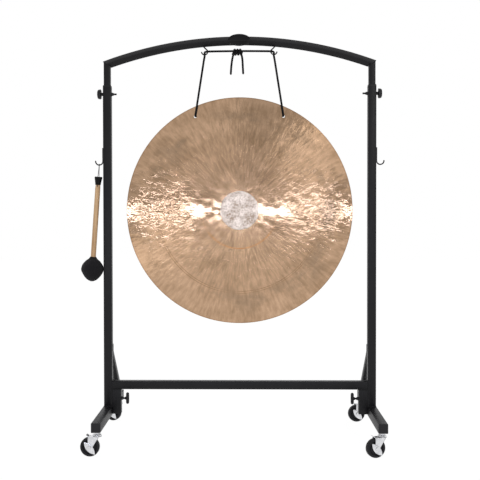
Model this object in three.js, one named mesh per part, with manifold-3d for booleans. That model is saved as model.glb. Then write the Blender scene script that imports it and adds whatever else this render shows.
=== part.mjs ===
// A gong stand on casters, with its gong, cord and mallet.
// Millimetres, +Z up, front towards -Y, +X to the right as seen from the front.
import * as THREE from 'three';
import { mergeVertices } from 'three/addons/utils/BufferGeometryUtils.js';
import Module from 'manifold-3d';

const wasm = await Module();
wasm.setup();

// Driving dimensions of the frame
const uprightSize = 35;
const uprightWall = 2;
const uprightBelowArch = 209;
const tubeCornerRadius = 2.5;
const footSize = 38;
const footWall = 2;
const footLength = 722;
const footFrontReach = 349;
const capPlate = 3;
const capEdge = 1;
const capPlugDepth = 12;
const crossbarSize = 35;
const crossbarOverFoot = 73;
const crossbarLegWidth = 38;
const crossbarLegLength = 105;
const braceSize = 25;
const braceWall = 1.5;
const braceOverCrossbar = 139;
const braceInset = 50;
const fitGap = 0.3;
const roundSides = 12;
const turnedSides = 18;
const cornerSteps = 1;
const wireSides = 8;
const crookSteps = 10;
const loopSteps = 8;

// Driving dimensions of the arched top
const archWall = 2;
const archOverHooks = 59;
const archRadius = 1676;
const archSteps = 20;
const legSlotTravel = 200;
const legSlotEnd = 43;
const bushWall = 0.9;
const bushCollar = 8;
const bushCollarTaper = 1.5;
const bushSleeve = 20;
const badgeWidth = 97;
const badgeHeight = 51;
const badgeThickness = 4;
const badgeBevel = 1;
const badgeRaise = 1.5;

// Driving dimensions of the bolts and knobs
const boltRadius = 4;
const boltClearance = 0.3;
const heightBoltDrop = 29;
const heightKnobRadius = 21;
const heightKnobThickness = 16;
const heightKnobEdge = 2;
const heightKnobNeckRadius = 7;
const heightKnobNeckLength = 8.7;
const heightNutLength = 10;
const heightNutRadius = 8;
const heightNutTipRadius = 5.5;
const heightBoltPastWall = 22;
const crossbarBoltDrop = 41;
const crossbarNutRadius = 7.5;
const crossbarNutLength = 9;
const crossbarNutChamfer = 2;
const knobStandOff = 4;
const knobConeLength = 13;
const knobConeTipRadius = 6;
const knobConeRadius = 9;
const knobBarLength = 50;
const knobBarThickness = 14;
const knobBarDepth = 14;
const screwPastWall = 8;

// Driving dimensions of the hooks, the gong and its cord
const gongHookX = 147;
const gongHookRadius = 13;
const gongHookWire = 2.75;
const gongHookMouthAngle = 20;
const gongHookRootOffset = 4;
const gongHookRootDepth = 4;
const cordDrop = 273;
const cordRadius = 4.5;
const cordSides = 8;
const cordJointGap = 1.3;
const knotHalf = [24, 9, 14];
const knotCentre = [-6, -10, -4];
const gongRadius = 482.5;
const gongThickness = 2.5;
const gongDome = 18;
const gongRimY = 15.6;
const gongHangY = 7.6;
const gongOverCrossbar = 244.5;
const gongToUpright = 61.5;
const gongHoleX = 187.5;
const gongHoleDrop = 81.5;
const gongHoleRadius = 6.5;
const gongHoleSides = 20;
const gongSides = 72;
const gongRings = 5;

// Driving dimensions of the mallet and its hooks
const malletHookWire = 2.75;
const malletHookRadius = 15.5;
const malletHookDrop = 257;
const malletHookLength = 57;
const malletHookTip = 3;
const loopRadius = 1.2;
const gripLength = 35;
const gripTopRadius = 16.5;
const gripMouthLip = 0.4;
const gripEdge = 3;
const gripDrop = 50;
const spigotRadius = 8;
const spigotLength = 25;
const handleRadius = 11;
const handleLength = 307;
const handleEndTaper = 1;
const loopHoleDrop = 8;
const loopHoleRadius = 2;
const headRadius = 49;
const headLength = 105;
const headBoreDepth = 45;
const headBoreRadius = 7;
const headNeckRadius = 14;
const headLower = [[9, -51.5], [30, -37], [43, -18]];
const headUpper = [[44, 18], [30, 36]];
const headSides = 24;
const headToUpright = 0.5;

// Driving dimensions of the casters
const casterInset = 36;
const casterTrail = 28;
const wheelRadius = 38.5;
const wheelWidth = 25;
const wheelHubBoss = 1.3;
const wheelHubPlay = 0.7;
const wheelClearance = 3.7;
const wheelHubRadius = 9;
const wheelSides = 36;
const wheelShoulder = 4;
const axleRadius = 4;
const axleHeadRadius = 6.5;
const axleHeadLength = 5;
const axleNutLength = 6;
const forkPlate = 2.5;
const forkCrownEdge = 1;
const forkCrownReach = 27;
const forkLegBehindAxle = 38;
const forkLegAheadOfAxle = 6;
const forkWaistBehindAxle = 12;
const forkWaistAheadOfAxle = 6;
const leafTip = { high: [21, 21], low: [-22, -28] };
const leafBulge = 27;
const racewayRadius = 18;
const racewayHeight = 7;
const collarRadius = 10;
const collarHeight = 12;
const stemRadius = 5;
const stemReach = 26;
const pedalThickness = 2.5;
const pedalHingeGap = 0.5;
const pedalFlat = 5;
const pedalReach = 14.5;
const pedalRise = 7;
const pedalEndSlant = 1;
const casterPlaces = [
  { name: 'front_left', side: -1, front: true, degrees: 179 },
  { name: 'front_right', side: 1, front: true, degrees: -165 },
  { name: 'rear_right', side: 1, front: false, degrees: -168 },
  { name: 'rear_left', side: -1, front: false, degrees: 163 },
];

// Sizes worked out from them
const footFrontY = -footFrontReach;
const footRearY = footLength - footFrontReach;
const wheelHubWidth = wheelWidth + 2 * wheelHubBoss;
const forkGap = wheelHubWidth + 2 * wheelHubPlay;
const forkTopZ = 2 * wheelRadius + wheelClearance;
const racewayBottomZ = forkTopZ + fitGap;
const footBottomZ = racewayBottomZ + racewayHeight + collarHeight;
const crossbarBottomZ = footBottomZ + footSize + crossbarOverFoot;
const crossbarTopZ = crossbarBottomZ + crossbarSize;
const crossbarBoltZ = crossbarBottomZ - crossbarBoltDrop;
const gongCentreZ = crossbarTopZ + gongOverCrossbar + gongRadius;
const gongHoleZ = gongCentreZ + gongRadius - gongHoleDrop;
const gongHookCentreZ = gongHoleZ + cordDrop;
const archTopZ = gongHookCentreZ + archOverHooks;
const uprightTopZ = archTopZ - uprightBelowArch;
const heightBoltZ = uprightTopZ - heightBoltDrop;
const uprightHalf = uprightSize / 2;
const uprightInner = gongRadius + gongToUpright;
const uprightCentreX = uprightInner + uprightHalf;
const uprightOuter = uprightCentreX + uprightHalf;
const footTopZ = footBottomZ + footSize;
const footCentreX = uprightInner + footSize / 2;
const archSize = uprightSize - 2 * (uprightWall + bushWall + 2 * fitGap);
const archHalf = archSize / 2;
const archCentreZ = archTopZ - archRadius;
const archInnerRadius = archRadius - archSize;
const legOuter = uprightCentreX + archHalf;
const legInner = uprightCentreX - archHalf;
const legOuterTopZ = archCentreZ + Math.sqrt(archRadius ** 2 - legOuter ** 2);
const legInnerTopZ = archCentreZ + Math.sqrt(archInnerRadius ** 2 - legInner ** 2);
const bushTopZ = uprightTopZ + bushCollar;
const boltHoleRadius = boltRadius + boltClearance;

// Finishes
const finish = (color, roughness, metalness) => new THREE.MeshStandardMaterial({
  color,
  roughness,
  metalness,
});
const frameBlack = finish(0x2b292c, 0.42, 0.1);
const plasticBlack = finish(0x1c1b1d, 0.55, 0);
const zincPlate = finish(0xc9c9c6, 0.25, 1);
const rubberBlack = finish(0x19181a, 0.7, 0);
const cordBlack = finish(0x0e0d0f, 0.9, 0);
const gongBronze = finish(0xb08d68, 0.35, 0.9);
const handleWood = finish(0xc7a27c, 0.55, 0);
const fleeceBlack = finish(0x1d1b20, 0.95, 0);
const enamelBlack = finish(0x0d0c0e, 0.2, 0.2);

const stand = new THREE.Group();

function add(name, geometry, material, parent = stand) {
  const mesh = new THREE.Mesh(geometry, material);
  mesh.name = name;
  parent.add(mesh);
  return mesh;
}

// Joining and cutting
function solidOf(geometry) {
  const bare = geometry.clone();
  bare.deleteAttribute('normal');
  bare.deleteAttribute('uv');
  const merged = mergeVertices(bare, 1e-4);
  return new wasm.Manifold(new wasm.Mesh({
    numProp: 3,
    vertProperties: new Float32Array(merged.attributes.position.array),
    triVerts: new Uint32Array(merged.index.array),
  }));
}

function geometryOf(solid) {
  const mesh = solid.getMesh();
  const geometry = new THREE.BufferGeometry();
  geometry.setAttribute('position', new THREE.BufferAttribute(mesh.vertProperties, 3));
  geometry.setIndex(new THREE.BufferAttribute(mesh.triVerts, 1));
  geometry.computeVertexNormals();
  return geometry;
}

function cut(base, ...tools) {
  let solid = solidOf(base);
  for (const tool of tools) solid = solid.subtract(solidOf(tool));
  return geometryOf(solid);
}

function join(base, ...others) {
  let solid = solidOf(base);
  for (const other of others) solid = solid.add(solidOf(other));
  return geometryOf(solid);
}

// Plain shapes, placed where they belong
function block(xa, xb, ya, yb, za, zb) {
  const geometry = new THREE.BoxGeometry(Math.abs(xb - xa), Math.abs(yb - ya), Math.abs(zb - za));
  return geometry.translate((xa + xb) / 2, (ya + yb) / 2, (za + zb) / 2);
}

function rodX(radius, xa, xb, y, z, sides = roundSides) {
  const geometry = new THREE.CylinderGeometry(radius, radius, Math.abs(xb - xa), sides);
  geometry.rotateZ(Math.PI / 2);
  return geometry.translate((xa + xb) / 2, y, z);
}

function rodY(radius, ya, yb, x, z, sides = roundSides) {
  const geometry = new THREE.CylinderGeometry(radius, radius, Math.abs(yb - ya), sides);
  return geometry.translate(x, (ya + yb) / 2, z);
}

function rodZ(radius, za, zb, x, y, sides = roundSides) {
  const geometry = new THREE.CylinderGeometry(radius, radius, Math.abs(zb - za), sides);
  geometry.rotateX(Math.PI / 2);
  return geometry.translate(x, y, (za + zb) / 2);
}

// A large block that fills the side of a plane in XZ that its normal points to
function beyond(x, z, normalX, normalZ) {
  const reach = 2 * archRadius;
  const geometry = new THREE.BoxGeometry(reach, reach, reach).translate(0, 0, reach / 2);
  geometry.rotateY(Math.atan2(normalX, normalZ));
  return geometry.translate(x, 0, z);
}

// A profile of [radius, height] pairs turned about Y, or about +Z or an X direction
function turnedY(profile, sides) {
  return new THREE.LatheGeometry(profile.map((point) => new THREE.Vector2(...point)), sides);
}

function turnedZ(profile, sides = turnedSides) {
  return turnedY(profile, sides).rotateX(Math.PI / 2);
}

function turnedX(profile, side, sides = turnedSides) {
  return turnedZ(profile, sides).rotateY(side * Math.PI / 2);
}

function roundedSquare(path, half, radius) {
  path.moveTo(half - radius, -half);
  path.absarc(half - radius, -half + radius, radius, -Math.PI / 2, 0);
  path.absarc(half - radius, half - radius, radius, 0, Math.PI / 2);
  path.absarc(-half + radius, half - radius, radius, Math.PI / 2, Math.PI);
  path.absarc(-half + radius, -half + radius, radius, Math.PI, Math.PI * 1.5);
  path.closePath();
  return path;
}

function tubeSection(size, wall) {
  const section = roundedSquare(new THREE.Shape(), size / 2, tubeCornerRadius);
  const boreCorner = tubeCornerRadius - wall / 2;
  section.holes.push(roundedSquare(new THREE.Path(), size / 2 - wall, boreCorner));
  return section;
}

// A square tube of the given length, standing on z = 0
function tube(size, wall, length) {
  return new THREE.ExtrudeGeometry(tubeSection(size, wall), {
    depth: length,
    curveSegments: cornerSteps,
    bevelEnabled: false,
  });
}

// A solid bar with the tubes' rounded corners, standing on z = 0
function squareBar(size, length) {
  return new THREE.ExtrudeGeometry(roundedSquare(new THREE.Shape(), size / 2, tubeCornerRadius), {
    depth: length,
    curveSegments: cornerSteps,
    bevelEnabled: false,
  });
}

// A smooth line through points, stepped evenly from each point to the next
class Route extends THREE.CatmullRomCurve3 {
  getPointAt(t, target) {
    return this.getPoint(t, target);
  }

  getTangentAt(t, target) {
    return this.getTangent(t, target);
  }
}

function sweep(points, radius, stepsBetween, sides) {
  const section = new THREE.Shape();
  for (let i = 0; i < sides; i += 1) {
    const angle = (i / sides) * Math.PI * 2;
    const corner = [Math.cos(angle) * radius, Math.sin(angle) * radius];
    if (i === 0) section.moveTo(...corner);
    else section.lineTo(...corner);
  }
  section.closePath();
  const extrudePath = new Route(points.map((point) => new THREE.Vector3(...point)));
  const steps = (points.length - 1) * stepsBetween;
  return new THREE.ExtrudeGeometry(section, { steps, extrudePath, bevelEnabled: false });
}

// Points round a circle in XZ, from one angle in degrees to another
function arcXZ(x, y, z, radius, from, to, count) {
  return Array.from({ length: count + 1 }, (_, i) => {
    const angle = THREE.MathUtils.degToRad(from + ((to - from) * i) / count);
    return [x + radius * Math.cos(angle), y, z + radius * Math.sin(angle)];
  });
}

// Uprights, with a hole through both side walls for the height bolt and one inside for the screw
for (const side of [-1, 1]) {
  const name = side < 0 ? 'left' : 'right';
  const x = side * uprightCentreX;
  const post = tube(uprightSize, uprightWall, uprightTopZ - footTopZ).translate(x, 0, footTopZ);
  const heightHole = rodX(boltHoleRadius, x - uprightSize, x + uprightSize, 0, heightBoltZ);
  const screwHole = rodX(boltHoleRadius, x, x - side * uprightSize, 0, crossbarBoltZ);
  add(`upright_${name}`, cut(post, heightHole, screwHole), frameBlack);

  const collar = new THREE.CylinderGeometry(
    (uprightHalf - bushCollarTaper) * Math.SQRT2,
    uprightHalf * Math.SQRT2,
    bushCollar,
    4,
    1,
    false,
    Math.PI / 4,
  );
  collar.rotateX(Math.PI / 2).translate(x, 0, uprightTopZ + bushCollar / 2);
  const sleeveHalf = uprightHalf - uprightWall - fitGap;
  const mouthHalf = sleeveHalf - bushWall;
  const sleeveBottom = uprightTopZ - bushSleeve;
  const overlap = bushCollar / 2;
  const sleeve = squareBar(2 * sleeveHalf, bushSleeve + overlap).translate(x, 0, sleeveBottom);
  const mouth = block(
    x - mouthHalf, x + mouthHalf, -mouthHalf, mouthHalf, sleeveBottom - overlap, bushTopZ + overlap,
  );
  add(`leg_bush_${name}`, cut(join(collar, sleeve), mouth), plasticBlack);
}

// Feet, each a tube with a plastic plug in both ends and two holes for the caster stems
const casterY = (front) => (front ? footFrontY + casterInset : footRearY - casterInset);
const footMiddleZ = footBottomZ + footSize / 2;
for (const side of [-1, 1]) {
  const name = side < 0 ? 'left' : 'right';
  const x = side * footCentreX;
  const tubeFrontY = footFrontY + capPlate;
  const foot = tube(footSize, footWall, footRearY - capPlate - tubeFrontY);
  foot.rotateX(-Math.PI / 2).translate(x, tubeFrontY, footMiddleZ);
  const stemHoles = [true, false].map((front) => rodZ(
    stemRadius + boltClearance, footBottomZ - footWall, footBottomZ + 2 * footWall, x, casterY(front),
  ));
  add(`foot_${name}`, cut(foot, ...stemHoles), frameBlack);

  for (const front of [true, false]) {
    const inward = front ? 1 : -1;
    const faceY = front ? footFrontY : footRearY;
    const plateShape = roundedSquare(new THREE.Shape(), footSize / 2, tubeCornerRadius);
    const plate = new THREE.ExtrudeGeometry(plateShape, {
      depth: capPlate - 2 * capEdge,
      curveSegments: cornerSteps,
      bevelThickness: capEdge,
      bevelSize: capEdge,
      bevelOffset: -capEdge,
      bevelSegments: 1,
    });
    plate.translate(0, 0, capEdge).rotateX(-inward * (Math.PI / 2));
    plate.translate(x, faceY, footMiddleZ);
    const plugSize = footSize - 2 * (footWall + fitGap);
    const plug = squareBar(plugSize, capPlate + capPlugDepth - capEdge).translate(0, 0, capEdge);
    plug.rotateX(-inward * (Math.PI / 2)).translate(x, faceY, footMiddleZ);
    add(`foot_cap_${front ? 'front' : 'rear'}_${name}`, join(plate, plug), plasticBlack);
  }
}

// Crossbar between the uprights, with a short tube under each end that is screwed to the upright
const bar = tube(crossbarSize, uprightWall, 2 * uprightInner).rotateY(Math.PI / 2);
bar.translate(-uprightInner, 0, crossbarBottomZ + crossbarSize / 2);
add('crossbar', bar, frameBlack);

for (const side of [-1, 1]) {
  const name = side < 0 ? 'left' : 'right';
  const seatX = side * (uprightInner - crossbarLegWidth);
  const outerX = side * uprightInner;
  const wall = side * uprightWall;
  const legBottomZ = crossbarBottomZ - crossbarLegLength;
  const shell = block(seatX, outerX, -uprightHalf, uprightHalf, legBottomZ, crossbarBottomZ);
  const hollow = block(
    seatX + wall, outerX - wall,
    -uprightHalf + uprightWall, uprightHalf - uprightWall,
    legBottomZ + uprightWall, crossbarBottomZ + uprightWall,
  );
  const screwHole = rodX(boltHoleRadius, seatX - wall, outerX + wall, 0, crossbarBoltZ);
  add(`crossbar_leg_${name}`, cut(shell, hollow, screwHole), frameBlack);

  const nut = turnedX([
    [boltHoleRadius, 0],
    [crossbarNutRadius, 0],
    [crossbarNutRadius, crossbarNutLength / 2],
    [crossbarNutRadius - crossbarNutChamfer, crossbarNutLength],
    [boltHoleRadius, crossbarNutLength],
    [boltHoleRadius, 0],
  ], -side);
  add(`crossbar_nut_${name}`, nut.translate(seatX, 0, crossbarBoltZ), plasticBlack);

  const coneStart = crossbarNutLength + knobStandOff;
  const barStart = coneStart + knobConeLength;
  const screwEnd = crossbarLegWidth + screwPastWall;
  const spindle = turnedX([
    [0, -screwEnd],
    [boltRadius, -screwEnd],
    [boltRadius, coneStart],
    [knobConeTipRadius, coneStart],
    [knobConeRadius, barStart],
    [0, barStart],
  ], -side);
  const grip = new THREE.CapsuleGeometry(
    knobBarThickness / 2, knobBarLength - knobBarThickness, 3, roundSides,
  );
  grip.rotateX(Math.PI / 2).scale(1, knobBarDepth / knobBarThickness, 1);
  grip.translate(-side * barStart, 0, 0);
  const knob = join(spindle, grip).translate(seatX, 0, crossbarBoltZ);
  add(`crossbar_knob_${name}`, knob, plasticBlack);
}

// Rear braces, square tubes cut to the back of the upright and the top of the foot
const braceTopZ = crossbarTopZ + braceOverCrossbar;
const braceFootY = footRearY - braceInset;
const braceRun = braceFootY - uprightHalf;
const braceRise = braceTopZ - footTopZ;
const braceAngle = Math.atan2(braceRise, braceRun);
const braceLength = Math.hypot(braceRun, braceRise);
for (const side of [-1, 1]) {
  const name = side < 0 ? 'left' : 'right';
  const x = side * (uprightInner + braceSize / 2);
  const overrun = 2 * braceSize;
  const brace = tube(braceSize, braceWall, braceLength + 2 * overrun);
  brace.translate(0, braceSize / 2, -overrun).rotateX(-(Math.PI / 2 + braceAngle));
  brace.translate(x, uprightHalf, braceTopZ);
  const reach = braceLength + overrun;
  const inFront = block(x - reach, x + reach, -reach, uprightHalf + fitGap, 0, braceTopZ + reach);
  const below = block(x - reach, x + reach, 0, braceFootY + reach, -reach, footTopZ + fitGap);
  add(`brace_${name}`, cut(brace, inFront, below), frameBlack);
}

// Arched top: a bent tube mitred to a leg at each end
class Arch extends THREE.Curve {
  constructor(radius, halfAngle) {
    super();
    this.radius = radius;
    this.halfAngle = halfAngle;
  }

  getPoint(t, target = new THREE.Vector3()) {
    const angle = (2 * t - 1) * this.halfAngle;
    return target.set(
      this.radius * Math.sin(angle), 0, archCentreZ + this.radius * Math.cos(angle),
    );
  }
}
const archSpan = Math.asin(legOuter / archInnerRadius) * 1.02;
const arch = new THREE.ExtrudeGeometry(tubeSection(archSize, archWall), {
  steps: archSteps,
  curveSegments: cornerSteps,
  extrudePath: new Arch(archRadius - archHalf, archSpan),
  bevelEnabled: false,
});
const mitreX = legOuterTopZ - legInnerTopZ;
const mitreZ = legOuter - legInner;
const mitres = [-1, 1].map((side) => beyond(
  side * legInner, legInnerTopZ, side * mitreX, -mitreZ,
));
add('arch_bar', cut(arch, ...mitres), frameBlack);

for (const side of [-1, 1]) {
  const name = side < 0 ? 'left' : 'right';
  const x = side * uprightCentreX;
  const legBottomZ = heightBoltZ - legSlotTravel - legSlotEnd;
  const leg = tube(archSize, archWall, legOuterTopZ + archSize - legBottomZ);
  leg.translate(x, 0, legBottomZ);
  const overMitre = beyond(side * legInner, legInnerTopZ - 2 * fitGap, -side * mitreX, mitreZ);
  const slot = block(
    x - archSize, x + archSize, -boltHoleRadius, boltHoleRadius,
    heightBoltZ - legSlotTravel - boltHoleRadius, heightBoltZ + boltHoleRadius,
  );
  add(`arch_leg_${name}`, cut(leg, overMitre, slot), frameBlack);

  // Knob with its through bolt, and the nut that it runs in
  const neckEnd = fitGap + heightKnobNeckLength;
  const knobEnd = neckEnd + heightKnobThickness;
  const boltEnd = uprightSize + heightBoltPastWall;
  const knob = turnedX([
    [0, -boltEnd],
    [boltRadius, -boltEnd],
    [boltRadius, fitGap],
    [heightKnobNeckRadius, fitGap],
    [heightKnobNeckRadius, neckEnd],
    [heightKnobRadius, neckEnd],
    [heightKnobRadius, knobEnd - heightKnobEdge],
    [heightKnobRadius - heightKnobEdge, knobEnd],
    [0, knobEnd],
  ], side);
  add(`height_knob_${name}`, knob.translate(side * uprightOuter, 0, heightBoltZ), plasticBlack);
  const nut = turnedX([
    [boltHoleRadius, 0],
    [heightNutRadius, 0],
    [heightNutTipRadius, heightNutLength],
    [boltHoleRadius, heightNutLength],
    [boltHoleRadius, 0],
  ], -side);
  add(`height_nut_${name}`, nut.translate(side * uprightInner, 0, heightBoltZ), plasticBlack);
}

// Oval badge in front of the arch
const oval = new THREE.Shape();
oval.absellipse(0, 0, badgeWidth / 2, badgeHeight / 2, 0, Math.PI * 2);
const badge = new THREE.ExtrudeGeometry(oval, {
  depth: badgeThickness - 2 * badgeBevel,
  curveSegments: 28,
  bevelThickness: badgeBevel,
  bevelSize: badgeBevel,
  bevelOffset: -badgeBevel,
  bevelSegments: 1,
});
badge.translate(0, 0, badgeBevel).rotateX(Math.PI / 2);
badge.translate(0, -archHalf - fitGap, archTopZ - archHalf + badgeRaise);
add('badge', badge, enamelBlack);

// Wire hooks under the arch, with their open side outwards
for (const side of [-1, 1]) {
  const name = side < 0 ? 'left' : 'right';
  const startAngle = 180 - gongHookMouthAngle;
  const crook = arcXZ(gongHookX, 0, gongHookCentreZ, gongHookRadius, startAngle, 360, crookSteps);
  const rootX = gongHookX + gongHookRootOffset;
  const rootZ = archCentreZ + Math.sqrt(archInnerRadius ** 2 - rootX ** 2);
  const outX = rootX / archInnerRadius;
  const outZ = (rootZ - archCentreZ) / archInnerRadius;
  const start = [rootX + gongHookRootDepth * outX, 0, rootZ + gongHookRootDepth * outZ];
  const route = [start, [rootX, 0, rootZ], ...crook].map(([x, y, z]) => [side * x, y, z]);
  const wire = sweep(route, gongHookWire, 1, wireSides);
  const skin = beyond(side * (rootX - fitGap * outX), rootZ - fitGap * outZ, side * outX, outZ);
  add(`gong_hook_${name}`, cut(wire, skin), zincPlate);
}

// The gong: a shallow dished bronze disc with two cord holes
const dishY = (radius) => gongRimY - gongDome * (1 - (radius / gongRadius) ** 2);
const gongFront = [];
const gongBack = [];
for (let i = 0; i <= gongRings; i += 1) {
  const radius = (gongRadius * i) / gongRings;
  gongFront.push([radius, dishY(radius)]);
  gongBack.unshift([radius, dishY(radius) + gongThickness]);
}
const disc = turnedY([...gongFront, ...gongBack], gongSides).translate(0, 0, gongCentreZ);
const gongHoles = [-1, 1].map((side) => rodY(
  gongHoleRadius, -gongDome, 2 * gongRimY, side * gongHoleX, gongHoleZ, gongHoleSides,
));
add('gong', cut(disc, ...gongHoles), gongBronze);

// The cord, in a group at the hooks' height: its top run lies in front of the hooks, over their
// wires and down behind them
const hung = new THREE.Group();
hung.position.z = gongHookCentreZ;
stand.add(hung);
const halfRun = [
  [0, -9, 0.5],
  [60, -9, 0.2],
  [118, -9, -0.5],
  [134, -9, -1],
  [142, -7.5, -2],
  [146.2, -3.6, -3.9],
  [gongHookX, 0.5, -5.1],
  [gongHookX, 4.6, -6.9],
  [gongHookX, gongHangY, -10.5],
];
const runEnd = [gongHookX, gongHangY, -gongHookRadius];
const mirrored = (points) => points.map(([x, y, z]) => [-x, y, z]);
const topRun = [runEnd, ...halfRun.slice(1).reverse(), ...mirrored(halfRun), mirrored([runEnd])[0]];
const knot = new THREE.SphereGeometry(1, 14, 8).scale(...knotHalf).translate(...knotCentre);
const leftTail = [[-12, -11, -7], [-26, -12, -17], [-32, -11, -47], [-36, -10, -100]];
const rightTail = [[6, -11, -7], [11, -12, -17], [15, -11, -47], [17, -10, -98]];
add('hook_cord', join(
  sweep(topRun, cordRadius, 2, cordSides),
  knot,
  sweep(leftTail, cordRadius, 2, cordSides),
  sweep(rightTail, cordRadius, 2, cordSides),
), cordBlack, hung);

// The rest of the cord goes down to the gong, through its holes and across behind it
const halfLoop = [
  [gongHookX, gongHangY, -gongHookRadius - cordJointGap],
  [147.2, gongHangY, -18],
  [150.1, gongHangY, -33.5],
  [163.2, 7.4, -117],
  [178, 7.1, -211],
  [185.2, 6.9, -256],
  [186.9, 6.9, -265],
  [187.4, 8.3, -269.6],
  [gongHoleX, 12.7, -271.4],
  [gongHoleX, 15.7, -271.4],
  [185.7, 20.4, -271.4],
  [181.5, 22.6, -271.5],
  [172, 23, -271.6],
  [120, 23, -271.8],
  [60, 23, -272],
];
const wholeLoop = [...halfLoop, ...mirrored(halfLoop).reverse()];
add('gong_cord', sweep(wholeLoop, cordRadius, 2, cordSides), cordBlack, hung);

// Mallet hooks on the outer faces of the uprights
const malletHookX = uprightOuter + fitGap + malletHookWire;
const malletHangX = malletHookX + malletHookRadius;
const malletHookTopZ = uprightTopZ - malletHookDrop;
const malletHookBendZ = malletHookTopZ - malletHookLength;
const malletHangZ = malletHookBendZ - malletHookRadius;
for (const side of [-1, 1]) {
  const crook = arcXZ(malletHangX, 0, malletHookBendZ, malletHookRadius, 180, 360, crookSteps);
  const tipX = malletHangX + malletHookRadius;
  const tip = [tipX, 0, malletHookBendZ + malletHookTip];
  const riser = [malletHookTopZ, (malletHookTopZ + malletHookBendZ) / 2].map((z) => [malletHookX, 0, z]);
  const route = [...riser, ...crook, tip].map(([x, y, z]) => [side * x, y, z]);
  const wire = sweep(route, malletHookWire, 1, wireSides);
  add(`mallet_hook_${side < 0 ? 'left' : 'right'}`, wire, zincPlate);
}

// The mallet hangs by its cord loop and leans until its head rests against the left upright
const headTop = gripDrop + gripLength + fitGap + handleLength + fitGap;
const headDrop = headTop + headLength / 2;
const malletLean = Math.asin(
  (uprightOuter + headToUpright + headRadius - malletHangX) / headDrop,
);
const mallet = new THREE.Group();
mallet.position.set(-malletHangX, 0, malletHangZ);
mallet.rotation.y = malletLean;
stand.add(mallet);

const strandY = malletHookWire + fitGap + loopRadius;
const strandEnd = gripDrop - fitGap;
const loopRoute = [
  [0, strandY, -strandEnd],
  [0, strandY, -strandEnd / 2],
  ...arcXZ(0, 0, 0, strandY, 0, 180, loopSteps).map(([y, , z]) => [0, y, z]),
  [0, -strandY, -strandEnd / 2],
  [0, -strandY, -strandEnd],
];
add('mallet_loop', sweep(loopRoute, loopRadius, 1, cordSides), cordBlack, mallet);

const gripBottom = -(gripDrop + gripLength);
const gripBore = spigotRadius + fitGap;
const gripBoreTop = gripBottom + spigotLength + fitGap;
add('mallet_grip', turnedZ([
  [0, gripBoreTop],
  [gripBore, gripBoreTop],
  [gripBore, gripBottom],
  [handleRadius + gripMouthLip, gripBottom],
  [gripTopRadius, -gripDrop - gripEdge],
  [gripTopRadius - gripEdge, -gripDrop],
  [0, -gripDrop],
]), rubberBlack, mallet);

const handleTop = gripBottom - fitGap;
const handleBottom = handleTop - handleLength;
const headSpigot = headBoreRadius - fitGap;
const shaft = turnedZ([
  [0, handleBottom - headBoreDepth + fitGap],
  [headSpigot, handleBottom - headBoreDepth + fitGap],
  [headSpigot, handleBottom],
  [handleRadius, handleBottom],
  [handleRadius, handleTop - handleRadius],
  [handleRadius - handleEndTaper, handleTop],
  [spigotRadius, handleTop],
  [spigotRadius, handleTop + spigotLength],
  [0, handleTop + spigotLength],
]);
const loopHole = rodY(
  loopHoleRadius, -2 * handleRadius, 2 * handleRadius, 0, handleTop - loopHoleDrop,
);
add('mallet_handle', cut(shaft, loopHole), handleWood, mallet);

const headHalf = headLength / 2;
add('mallet_head', turnedZ([
  [0, -headHalf],
  ...headLower,
  [headRadius, 0],
  ...headUpper,
  [headNeckRadius, headHalf],
  [headBoreRadius, headHalf],
  [headBoreRadius, headHalf - headBoreDepth],
  [0, headHalf - headBoreDepth],
], headSides).translate(0, 0, -headDrop), fleeceBlack, mallet);

// A fork's leg in its own plane: a plate that tapers to a leaf-shaped end round the axle
function forkLeg(t) {
  const plate = new THREE.Shape();
  plate.moveTo(casterTrail - forkLegBehindAxle, forkTopZ);
  plate.lineTo(casterTrail - forkWaistBehindAxle, wheelRadius);
  plate.lineTo(casterTrail + forkWaistAheadOfAxle, wheelRadius);
  plate.lineTo(casterTrail + forkLegAheadOfAxle, forkTopZ);
  plate.closePath();
  const axle = [casterTrail, wheelRadius];
  const [highS, highZ] = leafTip.high.map((offset, i) => axle[i] + offset);
  const [lowS, lowZ] = leafTip.low.map((offset, i) => axle[i] + offset);
  const along = Math.hypot(highS - lowS, highZ - lowZ);
  const bulgeS = (leafBulge * (highZ - lowZ)) / along;
  const bulgeZ = (leafBulge * (highS - lowS)) / along;
  const middle = [(highS + lowS) / 2, (highZ + lowZ) / 2];
  const leaf = new THREE.Shape();
  leaf.moveTo(lowS, lowZ);
  leaf.quadraticCurveTo(middle[0] + bulgeS, middle[1] - bulgeZ, highS, highZ);
  leaf.quadraticCurveTo(middle[0] - bulgeS, middle[1] + bulgeZ, lowS, lowZ);
  const settings = { depth: forkPlate, curveSegments: 6, bevelEnabled: false };
  const outline = join(
    new THREE.ExtrudeGeometry(plate, settings),
    new THREE.ExtrudeGeometry(leaf, settings),
  );
  return outline.rotateX(Math.PI / 2).translate(0, t, 0);
}

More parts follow.
